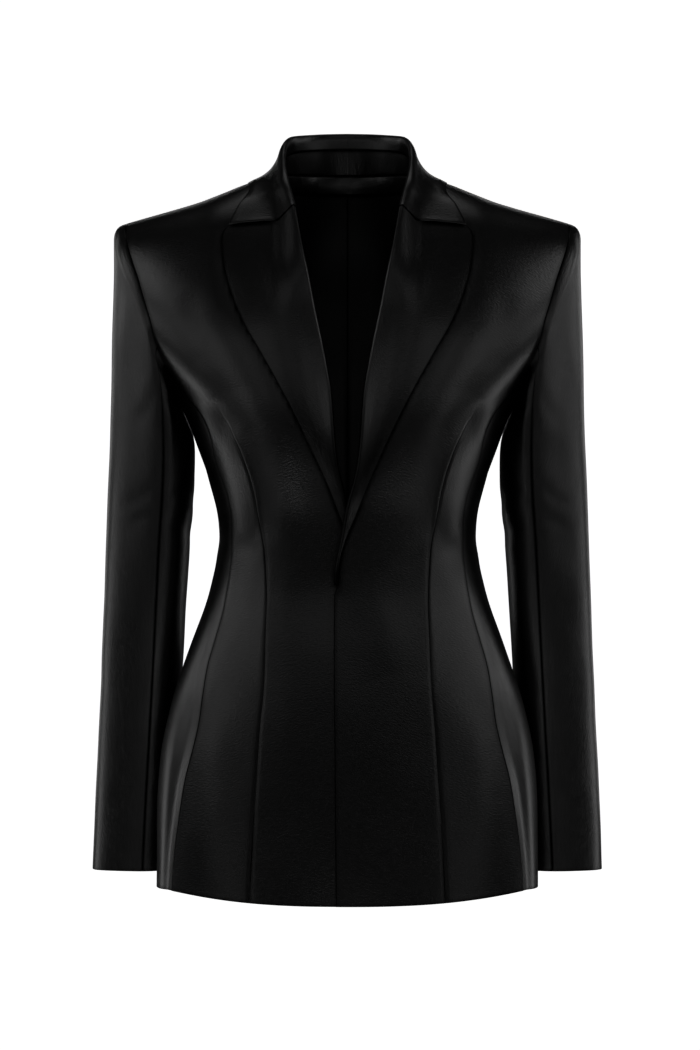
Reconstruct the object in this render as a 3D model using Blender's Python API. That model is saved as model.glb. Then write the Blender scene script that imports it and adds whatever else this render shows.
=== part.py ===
# Single breasted blazer, worn form with no wearer: every cut piece is a thin wall of cloth.
# Frame: +X is the wearer's left, -Y the front, +Z up. The origin is the middle of the neck,
# at the height where the shoulder seams meet the collar. Sizes below are in millimetres.
import bpy
import numpy as np

mm = 0.001

# Driving sizes
clothThickness = 1.6
liningThickness = 1.2
seamGap = 0.3           # between pieces that are sewn edge to edge
layerGap = 0.8          # between cloths that lie on each other
liningGap = 2.2
foldRadius = clothThickness + layerGap      # middle of the cloth where lapel and collar turn
collarLift = foldRadius - clothThickness / 2 + 0.5      # middle of the collar's fall over the body
collarBackLift = 0.9    # and this much more behind
lapelReturn = 11.0      # facing that runs on inside the front from the roll line
lapelLeastReturn = 3.0
archHeight = 150.0      # height over which the shoulder rounds from its ridge to the chest
lapDepth = 7.2          # how far the right front sinks where both lapels cross it
hemFrontDrop = 14.0     # centre front of the hem below its sides
hemSide = -668.0
neckBack = 8.0          # height of the neck seam at centre back
facingDepth = 13.0
dartDepth = 1.3
dartHalf = 4.0
dartTop = -222.0
seamRise = 2.2          # how far the front stands proud of the side panel at the hem
seamTrough = 1.8        # and how far the side panel sinks beside that ridge
sidePanelWidth = 170.0
armholeFrontFoot = -181.0       # where the side panel's front and back seams meet the armhole
armholeBackFoot = -190.0
underarm = -217.0
shoulderTip = -44.0

# Horizontal sections of the body. front and back are the depths at the centre line, widest is
# the y of the widest line, and the rounds are exponents: 2 is an ellipse, more is squarer.
bodySections = {
    "height": (60, 0, -60, -120, -170, -217, -250, -290, -332, -385, -445, -500, -550, -600, -700),
    "halfWidth": (250, 250, 246, 226, 194, 157.5, 144.5, 130.5, 121.2, 128.5, 148.8, 166.5, 175.8,
                  178.9, 179.6),
    "front": (66, 76, 92, 107, 115, 117, 114, 108, 100, 97, 104, 111, 115, 118, 122),
    "back": (84, 92, 108, 116, 115, 109, 103, 94, 87, 89, 101, 112, 117, 119, 121),
    "widest": (0, 0, 0, 0, 0, -2, -4, -6, -8, -13, -21, -29, -34, -35, -35),
    "frontRound": (2.5, 2.5, 2.5, 2.5, 2.5, 2.5, 2.45, 2.4, 2.35, 2.35, 2.35, 2.4, 2.4, 2.4, 2.4),
    "backRound": (2.4, 2.4, 2.4, 2.4, 2.4, 2.35, 2.3, 2.25, 2.2, 2.15, 2.1, 2.05, 2.0, 2.0, 2.0),
}

# Ridge of the shoulder, rising into the neck column inside x = 70
shoulderRidge = {
    "x": (-30, 0, 30, 48, 58, 66, 70, 95, 118, 140, 163, 186, 208.5, 226),
    "height": (46, 60, 46, 27, 12.5, 4.6, 1, -6, -15, -23.5, -30.5, -37, -43.5, -49),
}

# Seam lines as seen from the front: x at each height, for either side
rollLine = {
    "height": (-30, -66, -100, -130, -155, -183, -202, -226, -251, -274, -291, -305, -318, -336,
               -350, -362, -376, -388),
    "x": (48.4, 42, 34.5, 28.5, 23.3, 18, 14.7, 12.6, 11, 8.5, 4.8, 0.8, -2.4, -5.3, -7.7, -10.3,
          -12.3, -12.9),
}
frontEdge = {
    "height": (-390, -450, -517, -583, -700),
    "x": (-12.1, -12.6, -12, -11.5, -10.4),
}
frontNeckline = {
    "height": (1, -3, -8, -14, -20),
    "x": (70, 68, 64.5, 60.5, 57),
}
lapelEdge = {
    "height": (-52, -61.5, -88, -115, -142, -170, -204, -236, -266, -299, -317, -332, -347, -358,
               -370, -390),
    "x": (115.5, 117.4, 114.6, 107.6, 96.8, 81, 61.8, 45.2, 31, 17, 10.2, 4, -2, -5.4, -7.2, -8.2),
}
armholeFront = {
    "height": (-44, -54, -69, -85, -98, -118, -140, -155, -169, -181),
    "x": (209.8, 209, 206, 201, 196.5, 190.5, 184, 180.6, 175.8, 171),
}
armholeBack = {
    "height": (-44, -54, -69, -85, -105, -125, -145, -165, -180, -190),
    "x": (209.8, 209, 206, 201.5, 195.5, 189.5, 183, 175, 167, 159),
}
sideFrontSeam = {
    "height": (-181, -197, -213, -228, -245, -269, -287, -306, -325, -355, -373, -409, -440, -463,
               -485, -513, -540, -567, -595, -630, -662, -700),
    "x": (171, 160.5, 147.5, 136, 128.5, 123.3, 117, 111, 108.3, 108, 109.6, 115.3, 123.8, 130,
          133.4, 137, 143, 149.8, 154.3, 159, 161.7, 163.5),
}
sideBackSeam = {
    "height": (-190, -215, -250, -290, -332, -385, -445, -500, -600, -700),
    "x": (159, 141, 123, 107, 98, 101, 114, 126, 138, 141),
}
dartLine = {
    "height": (-30, -130, -180, -224, -241, -267, -293, -325, -358, -400, -436, -473, -528, -583,
               -628, -700),
    "x": (142, 136, 130, 119.5, 109.5, 96, 87.5, 81.5, 76, 74.2, 75.5, 77, 81.9, 85.3, 88.3, 91.5),
}

# Rows of the front and back from the shoulder seam to the armhole's foot: where each row meets
# the inner edge (neckline, then roll line or centre back) and the armhole
frontRows = {
    "inner": (1, -3, -8, -14, -20, -29, -40, -54, -72, -94, -120, -146),
    "armhole": (-44, -47.5, -53, -60, -68, -78, -90, -104, -119, -135, -151, -167),
}
backRows = {
    "innerX": (70, 66, 58, 45, 28, 12, 0, 0, 0, 0, 0, 0),
    "inner": (1, 3.2, 5.6, 7.2, 7.9, 8, 8, -14, -42, -73, -106, -138),
    "armhole": (-44, -47.5, -54, -63, -74, -86, -98, -113, -129, -145, -161, -176),
}

# Rows that all pieces share from the armhole's foot to the hem: front edge, the two side seams
# and centre back
lowerRows = {
    "frontEdge": (-172, -195, -218, -241, -265, -291, -318, -347, -372, -390, -415, -455, -505,
                  -560, -618, -682),
    "sideFront": (-181, -199, -217, -237, -258, -282, -308, -336, -362, -384, -412, -452, -502,
                  -557, -613, -670.5),
    "sideBack": (-190, -206, -223, -241, -261, -284, -309, -336, -362, -384, -412, -452, -502,
                 -557, -613, -669),
    "centreBack": (-168, -190, -212, -235, -260, -286, -313, -341, -367, -390, -417, -457, -507,
                   -562, -618, -672),
}

# Rows of the back lining from the neck facing's edge down to where it shares the back's rows
liningRows = {
    "inner": (-7, -17, -31, -52, -78, -107, -137),
    "outer": (-55, -70, -87, -107, -130, -153, -176),
}
liningBelowRidge = 14.0
liningInsideArmhole = 8.0

# Where each row of the lapel leaves the roll line and meets the lapel's free edge
lapelRows = {
    "roll": (-30, -48, -80, -115, -150, -185, -220, -250, -280, -303, -320, -336, -350, -363, -375, -386),
    "edge": (-51.8, -61.5, -88, -115, -145, -176, -208, -238, -268, -298, -317, -333, -347, -360,
             -372, -384),
}
lapelRowCount = 20

# The gorge seam and the notch edge, and where the columns of the lapel and the collar's fall lie
gorgeLine = {
    "share": (0, 0.25, 0.5, 0.8, 1),
    "x": (48.4, 64, 81, 102, 115.5),
    "height": (-30, -46.5, -47.2, -49, -51.6),
}
fallColumns = (1, 0.85, 0.67, 0.5, 0.34, 0.215, 0.1, 0)

# The collar from its front end to centre back, a row for each row of the neckline. fold is the
# centre of its turn; the fall's edge lies on the body at x, at a distance walked round the
# shoulder ridge (minus is forward); inside is the cloth from the turn to the stand seam.
collarRows = {
    "along": (0, 0.1, 0.18, 0.27, 0.36, 0.45, 0.53, 0.62, 0.72, 0.83, 0.92, 1),
    "foldX": (50.8, 54.6, 57.6, 59.6, 60.8, 61.2, 61.0, 59.8, 55.5, 40, 21, 0),
    "foldY": (-60, -51, -42, -30, -16, -2, 10, 23, 38, 53, 59, 61),
    "foldZ": (-32.5, -20, -9.5, 0, 9, 17.5, 25, 32, 38.5, 42.5, 44, 44.5),
    "edgeX": (115.5, 101.5, 95.5, 93, 92.6, 94.5, 93, 87, 73, 49, 25, 0),
    "edgeTurn": (-101, -82, -67, -51, -32, -8, 15, 40, 64, 105, 136, 149),
    "inside": (4, 4, 4, 5, 6, 8, 10, 11, 12, 12, 12, 12),
}

# Rings of the sleeve from the armhole to the cuff: outermost and innermost point, middle y and
# half depth, and how far the ring has gone from the armhole's shape (0) to an oval (1)
sleeveRings = {
    "outerX": (209.8, 214.8, 219, 221.3, 221.3, 221.4, 222.2, 223, 223.8, 224.5, 225.7, 227.5, 229.3,
               231.2, 233.4, 235.8, 238.4, 241, 242.9, 244.4),
    "outerZ": (-44, -45.8, -49.6, -57, -68, -85, -110, -140, -175, -212, -250, -292, -335, -385,
               -436, -486, -537, -583, -623, -659),
    "innerX": (158, 156.8, 155.2, 153.4, 151.4, 149.3, 147.4, 146, 145.4, 145.2, 145.5, 146.8,
               149.9, 152.9, 156, 159.2, 162.5, 165.4, 167.7, 169.5),
    "innerZ": (-217.4, -221, -225, -229.5, -234.5, -240, -247, -255, -264, -275, -290, -312,
               -343, -386, -436, -486, -537, -583, -623, -659),
    "middleY": (2, 2, 2, 3, 4, 5, 6, 7, 8, 9, 10, 12, 15, 19, 25, 32, 38, 41, 43, 44),
    "halfDepth": (66, 66, 66, 66, 66, 66, 66, 66, 65, 64, 62, 60, 58, 56, 54, 52, 50, 48, 46.5, 45.5),
    "oval": (0, 0.02, 0.05, 0.09, 0.15, 0.24, 0.37, 0.53, 0.7, 0.85, 0.95, 1, 1, 1, 1, 1, 1, 1, 1, 1),
}
sleeveRows = 22
sleeveFrontSeam = np.radians(109)
sleeveBackSeam = np.radians(245)
sleeveBlend = np.radians(9)     # the wall's normals are averaged over this angle to each side


def smooth(at, knots, values):
    # Cubic through the knots whose slopes are harmonic means of the chords, so it never overshoots
    knots = np.asarray(knots, float)
    values = np.asarray(values, float)
    if knots[0] > knots[-1]:
        knots = knots[::-1]
        values = values[::-1]
    chords = np.diff(values) / np.diff(knots)
    before = chords[:-1]
    after = chords[1:]
    same = before * after > 0
    means = np.where(same, 2 * before * after / np.where(same, before + after, 1), 0)
    slopes = np.concatenate((chords[:1], means, chords[-1:]))
    at = np.clip(at, knots[0], knots[-1])
    low = np.clip(np.searchsorted(knots, at) - 1, 0, len(knots) - 2)
    span = knots[low + 1] - knots[low]
    part = (at - knots[low]) / span
    rise = part ** 2 * (3 - 2 * part)
    level = values[low] + (values[low + 1] - values[low]) * rise
    lean = slopes[low] * part * (1 - part) ** 2 - slopes[low + 1] * part ** 2 * (1 - part)
    return level + span * lean


def ease(value, start, end):
    # 0 at start, 1 at end, level at both
    part = np.clip((value - start) / (end - start), 0, 1)
    return part ** 2 * (3 - 2 * part)


def unit(vectors):
    return vectors / np.linalg.norm(vectors, axis=-1, keepdims=True)


def alongTable(table, name, count):
    # A table's column read at evenly spaced places from its first row to its last
    values = table[name]
    return smooth(np.linspace(0, 1, count), np.linspace(0, 1, len(values)), values)


def joined(*columns):
    return np.concatenate([np.asarray(column, float) for column in columns])


def xAt(table, height):
    return smooth(height, table["height"], table["x"])


def ridgeHeight(x):
    return smooth(np.abs(x), shoulderRidge["x"], shoulderRidge["height"])


def section(name, height):
    return smooth(height, bodySections["height"], bodySections[name])


def roundAt(turn, height):
    isBack = np.cos(turn) < 0
    return np.where(isBack, section("backRound", height), section("frontRound", height))


def bodyPoint(turn, height):
    # The body's outer face. turn is 0 at centre front, a quarter turn at the wearer's left side.
    # x = W |sin|^(2/n) and y = widest + D |cos|^(2/n). Under the shoulder ridge y shrinks by
    # sqrt(1 - (1 - h/H)^2), a quarter oval over the arch height H, h being the way down from it.
    turn, height = np.broadcast_arrays(np.asarray(turn, float), np.asarray(height, float))
    power = 2 / roundAt(turn, height)
    sine = np.sin(turn)
    cosine = np.cos(turn)
    x = section("halfWidth", height) * np.sign(sine) * np.abs(sine) ** power
    widest = section("widest", height)
    depth = np.where(cosine < 0, section("back", height) - widest, -section("front", height) - widest)
    y = widest + depth * np.abs(cosine) ** power
    bust = np.exp(-((np.abs(x) - 92) / 46) ** 2 - ((height + 232) / 62) ** 2)
    blade = np.exp(-((np.abs(x) - 88) / 60) ** 2 - ((height + 118) / 70) ** 2)
    y = y + np.where(cosine < 0, 4 * blade, -6 * bust) * np.abs(cosine)
    down = np.clip((ridgeHeight(x) - height) / archHeight, 0, 1)
    y = y * np.sqrt(1 - (1 - down) ** 2)
    return np.stack((x, y, height), axis=-1)


def bodyNormal(turn, height):
    # Crosses the slopes round and up the body; on the ridge itself it stands square to the ridge
    turn, height = np.broadcast_arrays(np.asarray(turn, float), np.asarray(height, float))
    aside = bodyPoint(turn + 1e-4, height) - bodyPoint(turn - 1e-4, height)
    upward = bodyPoint(turn, height + 0.02) - bodyPoint(turn, height - 0.02)
    normals = unit(np.cross(aside, upward) + 1e-12)
    x = bodyPoint(turn, height)[..., 0]
    ridgeSlope = ridgeHeight(x + 0.5) - ridgeHeight(x - 0.5)
    onRidge = unit(np.stack((-ridgeSlope, 0 * x, 1 + 0 * x), axis=-1))
    near = (ridgeHeight(x) - height < 0.6)[..., None]
    return np.where(near, onRidge, normals)


def turnAt(x, height, back=False):
    # The turn at which the body has this x at this height
    x, height = np.broadcast_arrays(np.asarray(x, float), np.asarray(height, float))
    power = section("backRound" if back else "frontRound", height)
    share = np.clip(np.abs(x) / section("halfWidth", height), 0, 1)
    turn = np.arcsin(share ** (power / 2))
    if back:
        turn = np.pi - turn
    return np.where(x < 0, -turn, turn)


def layer(turn, height, offset):
    # Points on the body moved along its normal
    offset = np.asarray(offset, float)
    return bodyPoint(turn, height) + bodyNormal(turn, height) * offset[..., None]


def hemHeight(x):
    return hemSide - hemFrontDrop * (1 - np.clip(np.abs(x) / 176, 0, 1) ** 2.4)


def material(name, colour, roughness):
    made = bpy.data.materials.new(name)
    made.use_nodes = True
    shader = made.node_tree.nodes["Principled BSDF"]
    shader.inputs["Base Color"].default_value = (*colour, 1)
    shader.inputs["Roughness"].default_value = roughness
    shader.inputs["Metallic"].default_value = 0
    return made


def clothWall(name, outer, inner, colour=(0.012, 0.012, 0.013), roughness=0.38):
    # Closed solid between two grids of the same size: two faces and the strip round their edge
    rows, columns = outer.shape[:2]
    index = np.arange(rows * columns).reshape(rows, columns)
    a, b, c, d = index[:-1, :-1], index[:-1, 1:], index[1:, 1:], index[1:, :-1]
    front = np.concatenate((np.stack((a, b, c), -1).reshape(-1, 3), np.stack((a, c, d), -1).reshape(-1, 3)))
    rim = np.concatenate((index[0], index[1:, -1], index[-1, -2::-1], index[-2:0:-1, 0]))
    nextRim = np.roll(rim, -1)
    shift = rows * columns
    sides = np.concatenate((np.stack((nextRim, rim, rim + shift), -1),
                            np.stack((nextRim, rim + shift, nextRim + shift), -1)))
    faces = np.concatenate((front, front[:, ::-1] + shift, sides))
    points = np.concatenate((outer.reshape(-1, 3), inner.reshape(-1, 3))) * mm
    corners = points[faces]
    volume = np.einsum("ij,ij->", corners[:, 0], np.cross(corners[:, 1], corners[:, 2])) / 6
    if volume < 0:
        faces = faces[:, ::-1]
    mesh = bpy.data.meshes.new(name)
    mesh.from_pydata(points.tolist(), [], faces.tolist())
    mesh.update()
    mesh.shade_smooth()
    mesh.set_sharp_from_angle(angle=np.radians(40))
    mesh.materials.append(material(name + "_satin", colour, roughness))
    made = bpy.data.objects.new(name, mesh)
    bpy.context.scene.collection.objects.link(made)
    return made


def spread(start, end, shares):
    # Rows of values from each start to each end, at these shares of the way
    return start[:, None] + (end - start)[:, None] * np.asarray(shares, float)


def mirrored(points, side):
    return points * np.array((side, 1, 1))


def bothSides(rows):
    # Rows from the front end on the wearer's left to centre back, and on to the right front end
    return np.concatenate((rows, rows[-2::-1] * np.array((-1, 1, 1))))


def innerEdgeX(height):
    # Front piece: neckline, then the roll line moved in by the turn of the lapel, then the edge
    turnIn = (foldRadius + clothThickness / 2) * 1.03
    neck = xAt(frontNeckline, height)
    roll = xAt(rollLine, height) + turnIn
    edge = xAt(frontEdge, height)
    lower = roll + (edge - roll) * ease(height, -386, -396)
    return neck + (lower - neck) * ease(height, -20, -30)


def frontOuterX(height):
    # The armhole down to its foot, and the side panel's seam below it
    return np.where(height > armholeFrontFoot, xAt(armholeFront, height), xAt(sideFrontSeam, height))


def backOuterX(height):
    return np.where(height > armholeBackFoot, xAt(armholeBack, height), xAt(sideBackSeam, height))


def seamRidge(away, height, width):
    # Beside the side seam of the skirt both pieces rise into a ridge
    return seamRise * ease(height, -345, -600) * np.exp(-np.clip(away, 0, 90) / width)


def lapSink(x, height):
    # The right front and lapel sink under the left where they cross, and below along the edge
    crossing = ease(height, -238, -298) * (1 - ease(height, -390, -415))
    low = (clothThickness + layerGap) * ease(height, -390, -415)
    return -(lapDepth * crossing + low) * (1 - ease(x, 4, 66))


def frontSurface(x, height, side, offset=0.0):
    # A layer on the front of one side, in that side's own mirrored x
    lift = seamRidge(xAt(sideFrontSeam, height) - x, height, 16)
    if side < 0:
        lift = lift + lapSink(x, height)
    return layer(turnAt(x, height), height, lift + offset)


def shoulderRows(x, height):
    # The first row lies on the shoulder ridge, those below it follow its curve less and less, and
    # none comes nearer to the ridge beside the neck than it does at the armhole
    ridgeTrim = archHeight * (seamGap / section("front", 0.0)) ** 2 / 8
    follow = 1 - ease(np.arange(len(x))[:, None], 0, 6)
    height = height + follow * (ridgeHeight(x[0]) - ridgeTrim - height[0])
    drop = (ridgeHeight(x[:, -1]) - height[:, -1])[:, None]
    return np.minimum(height, ridgeHeight(x) - drop * ease(x - x[:, :1], 0, 28))


def makeFront(side):
    innerZ = joined(frontRows["inner"], lowerRows["frontEdge"])
    outerZ = joined(frontRows["armhole"], lowerRows["sideFront"])
    rows = len(innerZ)
    innerX = innerEdgeX(innerZ) + seamGap / 2
    outerX = frontOuterX(outerZ) - seamGap / 2
    dartX = xAt(dartLine, (innerZ + outerZ) / 2)
    inside = spread(innerX, dartX - dartHalf, (0, 0.24, 0.49, 0.76, 1))
    outside = spread(dartX + dartHalf, outerX, (0, 0.38, 0.74, 1))
    x = np.concatenate((inside, dartX[:, None], outside), axis=1)
    dartColumn = inside.shape[1]
    share = (x - innerX[:, None]) / (outerX - innerX)[:, None]
    height = shoulderRows(x, innerZ[:, None] + (outerZ - innerZ)[:, None] * share)
    height[-1] = hemHeight(x[-1])
    dart = np.zeros_like(x)
    dart[:, dartColumn] = -dartDepth * ease(height[:, dartColumn], dartTop, dartTop - 40)
    outer = frontSurface(x, height, side, dart)
    inner = frontSurface(x, height, side, dart - clothThickness)
    name = "front_left" if side > 0 else "front_right"
    return clothWall(name, mirrored(outer, side), mirrored(inner, side))


def makeBack(side):
    innerX = joined(backRows["innerX"], np.zeros(len(lowerRows["centreBack"]))) + seamGap / 2
    innerZ = joined(backRows["inner"], lowerRows["centreBack"])
    outerZ = joined(backRows["armhole"], lowerRows["sideBack"])
    outerX = backOuterX(outerZ) - seamGap / 2
    shares = (0, 0.06, 0.14, 0.26, 0.42, 0.58, 0.73, 0.87, 1)
    x = spread(innerX, outerX, shares)
    height = shoulderRows(x, spread(innerZ, outerZ, shares))
    turn = turnAt(x, height, back=True)
    name = "back_left" if side > 0 else "back_right"
    outer = layer(turn, height, 0 * turn)
    inner = layer(turn, height, 0 * turn - clothThickness)
    return clothWall(name, mirrored(outer, side), mirrored(inner, side))


def sideTop(share):
    # Armhole edge of the side panel: front seam at 0, underarm in the middle, back seam at 1
    topFront, topBack = lowerRows["sideFront"][0], lowerRows["sideBack"][0]
    start = turnAt(xAt(sideFrontSeam, topFront), topFront)
    end = turnAt(xAt(sideBackSeam, topBack), topBack, back=True)
    dip = np.sin(np.pi * share) ** 1.3
    height = topFront + (topBack - topFront) * share
    return start + (end - start) * share, height + (underarm - (topFront + topBack) / 2) * dip


def makeSide(side):
    shares = np.array((0, 0.05, 0.11, 0.2, 0.34, 0.5, 0.67, 0.84, 1))
    frontZ = joined(lowerRows["sideFront"])
    backZ = joined(lowerRows["sideBack"])
    line = spread(frontZ, backZ, shares)
    topHeight = sideTop(shares)[1]
    height = line + (topHeight - line[0]) * (line[-1] - line) / (line[-1] - line[0])
    frontTurn = turnAt(xAt(sideFrontSeam, frontZ) + seamGap / 2, frontZ)
    backTurn = turnAt(xAt(sideBackSeam, backZ) + seamGap / 2, backZ, back=True)
    turn = spread(frontTurn, backTurn, shares)
    away = shares * sidePanelWidth
    trough = -seamTrough * ease(height, -345, -560) * np.exp(-((away - 16) / 9) ** 2)
    lift = seamRidge(away, height, 6) + trough
    outer = layer(turn, height, lift)
    inner = layer(turn, height, lift - clothThickness)
    name = "side_left" if side > 0 else "side_right"
    return clothWall(name, mirrored(outer, side), mirrored(inner, side))


def bezier(start, first, second, end, part):
    part = part[:, None]
    return ((1 - part) ** 3 * start + 3 * part * (1 - part) ** 2 * first
            + 3 * part ** 2 * (1 - part) * second + part ** 3 * end)


def gorge(part):
    # Seen from the front: the gorge seam from the roll line to its corner, then the notch edge
    x = np.interp(part, gorgeLine["share"], gorgeLine["x"])
    return np.stack((x, np.interp(part, gorgeLine["share"], gorgeLine["height"])), axis=-1)


def turnedRow(flatPoints, side, run, radius, lift=0.0):
    # A row seen from the front, laid on the front, carried round its turn and back inside by run
    leave = (flatPoints[-2] - flatPoints[-1]) / np.linalg.norm(flatPoints[-2] - flatPoints[-1])
    bend = np.radians((45, 90, 135))
    turnPoints = flatPoints[-1] - leave * (radius * np.sin(bend))[:, None]
    inside = flatPoints[-1] + leave * np.array((0, 0.5, 1))[:, None] * run
    centre = -clothThickness / 2
    flatOffsets = centre + radius + lift * np.linspace(1, 0, len(flatPoints)) ** 0.5
    points = np.concatenate((flatPoints, turnPoints, inside))
    offsets = joined(flatOffsets, centre + radius * np.cos(bend), np.full(3, centre - radius))
    return frontSurface(points[:, 0], points[:, 1], side, offsets)


def fallShares(width):
    # Shares of a row's width at its columns, the last one where the cloth begins to turn
    least = (foldRadius + clothThickness / 2) / width
    return least + (1 - least) * np.array(fallColumns)


def gorgeRow(aside):
    # The gorge as a row of points, moved up or down from the seam
    ends = gorge(np.array((0.0, 1.0)))
    return gorge(fallShares(np.linalg.norm(ends[1] - ends[0]))) + np.array((0, aside))


def makeLapel(side):
    # Rows from the free edge to the roll line, round it and back inside, once for each face
    rollZ = alongTable(lapelRows, "roll", lapelRowCount)
    edgeZ = alongTable(lapelRows, "edge", lapelRowCount)
    rollPoints = np.stack((xAt(rollLine, rollZ), rollZ), axis=-1)
    edgePoints = np.stack((xAt(lapelEdge, edgeZ), edgeZ), axis=-1)
    widths = np.linalg.norm(edgePoints - rollPoints, axis=1)
    shares = np.array([fallShares(width) for width in widths])
    flat = rollPoints[:, None] + (edgePoints - rollPoints)[:, None] * shares[..., None]
    sag = gorgeRow(-seamGap) - flat[0]
    flat = flat + sag * (1 - ease(np.arange(lapelRowCount), 0, 7))[:, None, None]
    runs = lapelLeastReturn + (lapelReturn - lapelLeastReturn) * ease(rollZ, -330, -270)
    faces = []
    for radius in (foldRadius + clothThickness / 2, foldRadius - clothThickness / 2):
        faces.append(np.array([turnedRow(flat[row], side, runs[row], radius)
                               for row in range(lapelRowCount)]))
    name = "lapel_left" if side > 0 else "lapel_right"
    return clothWall(name, mirrored(faces[0], side), mirrored(faces[1], side))


def ridgeWalk(x, walk):
    # Turn and height on the body at x, having walked round the shoulder ridge (minus is forward)
    angle = np.clip(np.abs(walk) / archHeight, 0, np.pi / 2)
    height = ridgeHeight(x) - archHeight * (1 - np.cos(angle))
    return np.where(walk < 0, turnAt(x, height), turnAt(x, height, back=True)), height


def neckline():
    # Turn and height of the neck seam from the front end of the collar to centre back, at the
    # rows that the front and the back have there
    frontHeight = np.array(frontRows["inner"][5::-1], float)
    frontTurn = turnAt(innerEdgeX(frontHeight), frontHeight)
    backX = np.array(backRows["innerX"][1:7], float)
    backHeight = np.array(backRows["inner"][1:7], float)
    return joined(frontTurn, turnAt(backX, backHeight, back=True)), joined(frontHeight, backHeight)


def clearOfBody(points, lift):
    # Points that lie under a layer on the body are moved out onto it
    x, y, height = points[..., 0], points[..., 1], points[..., 2]
    under = ridgeHeight(x) - 0.5 > height
    heightOn = np.minimum(height, ridgeHeight(x) - 0.5)
    turn = np.where(y > 0, turnAt(x, heightOn, back=True), turnAt(x, heightOn))
    normals = bodyNormal(turn, heightOn)
    short = np.sum((bodyPoint(turn, heightOn) - points) * normals, axis=-1) + lift
    return points + normals * (np.clip(short, 0, None) * under)[..., None]


def collarShape():
    # The collar's rows: fall from its edge up to the turn, over it, and down inside. Also the
    # direction in which each row leaves the turn, and the way out from the neck.
    table = {key: np.asarray(collarRows[key], float) for key in collarRows}
    along = table["along"]
    fold = np.stack((table["foldX"], table["foldY"], table["foldZ"]), axis=-1)
    tangent = unit(np.gradient(bothSides(fold), axis=0))[:len(fold)]
    turn, height = ridgeWalk(table["edgeX"], table["edgeTurn"])
    edge = layer(turn, height, collarLift + collarBackLift * ease(along, 0.5, 0.8))
    edgeNormal = bodyNormal(turn, height)
    neckNormal = bodyNormal(*neckline())
    neckNormal = unit(neckNormal - tangent * np.sum(neckNormal * tangent, axis=1)[:, None])
    toEdge = unit(edge - fold)
    toEdge = unit(toEdge - tangent * np.sum(toEdge * tangent, axis=1)[:, None])
    flat = unit(toEdge - neckNormal * np.sum(toEdge * neckNormal, axis=1)[:, None])
    steep = unit(np.array((0, 0, -1.0)) + tangent * tangent[:, 2:])
    raised = unit(0.3 * toEdge + 0.7 * steep)
    weight = ease(along, 0.1, 0.5)[:, None]
    leave = unit(flat * (1 - weight) + raised * weight)
    outward = unit(np.cross(leave, tangent))
    outward = outward * np.sign(np.sum(outward * edgeNormal, axis=1))[:, None]
    rows = []
    for row in range(len(along)):
        start = fold[row] + outward[row] * foldRadius
        gap = edge[row] - start
        reach = np.linalg.norm(gap)
        settle = unit(gap - edgeNormal[row] * np.dot(gap, edgeNormal[row]))
        fall = bezier(start, start + leave[row] * reach * 0.36, edge[row] - settle * reach * 0.36,
                      edge[row], np.array(fallColumns))
        fall[:-1] = clearOfBody(fall[:-1], collarLift)
        bend = np.radians((45, 90, 135))[:, None]
        top = fold[row] + foldRadius * (np.cos(bend) * outward[row] - np.sin(bend) * leave[row])
        down = np.array((0, 0.5, 1))[:, None] * table["inside"][row]
        under = fold[row] - outward[row] * foldRadius + leave[row] * down
        rows.append(np.concatenate((fall, top, under)))
    rows[0] = collarFront(foldRadius)
    return np.array(rows), leave, outward


def collarFront(radius):
    return turnedRow(gorgeRow(seamGap), 1, collarRows["inside"][0], radius, lift=0.6)


def makeCollar():
    # A wall half its thickness to each side of the middle of the cloth. At the gorge it has the
    # lapel's own slant, elsewhere the normals come from differences along rows and columns.
    half = collarShape()[0]
    middle = bothSides(half)
    normals = unit(np.cross(np.gradient(middle, axis=0), np.gradient(middle, axis=1)))
    normals[0] = unit(collarFront(foldRadius + 0.5) - collarFront(foldRadius - 0.5))
    normals[0] = normals[0] * np.sign(np.sum(normals[0] * normals[1]))
    normals[-1] = normals[0] * np.array((-1, 1, 1))
    shift = normals * clothThickness / 2
    return clothWall("collar", middle + shift, middle - shift)


def makeStand():
    first = 3
    grid, leave, outward = (part[first:] for part in collarShape())
    top = grid[:, -1] + leave * seamGap + outward * clothThickness / 2
    turn, height = (part[first:] for part in neckline())
    seat = bodyPoint(turn, height)
    bottom = seat + unit(top - seat) * seamGap * 1.6
    part = np.linspace(0, 1, 4)[:, None, None]
    outer = np.swapaxes(top + (bottom - top) * part, 0, 1)
    normals = unit(np.swapaxes(outward + (bodyNormal(turn, height) - outward) * part, 0, 1))
    return clothWall("collar_stand", bothSides(outer), bothSides(outer - normals * clothThickness))


def makeNeckFacing():
    # Its top meets the back at the neck seam, and its lower edge stands in by the lining's gap
    half = joined(backRows["innerX"][1:7])
    top = joined(backRows["inner"][1:7]) - 0.4
    bottom = neckBack - facingDepth + 0 * half
    shares = np.array((0, 0.5, 1))
    x = np.broadcast_to(half[:, None], (len(half), len(shares)))
    height = spread(top, bottom, shares)
    turn = turnAt(x, height, back=True)
    depth = 0 * turn - clothThickness - seamGap - (liningGap - seamGap) * shares ** 0.3
    return clothWall("neck_facing", bothSides(layer(turn, height, depth)),
                     bothSides(layer(turn, height, depth - clothThickness)))


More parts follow.
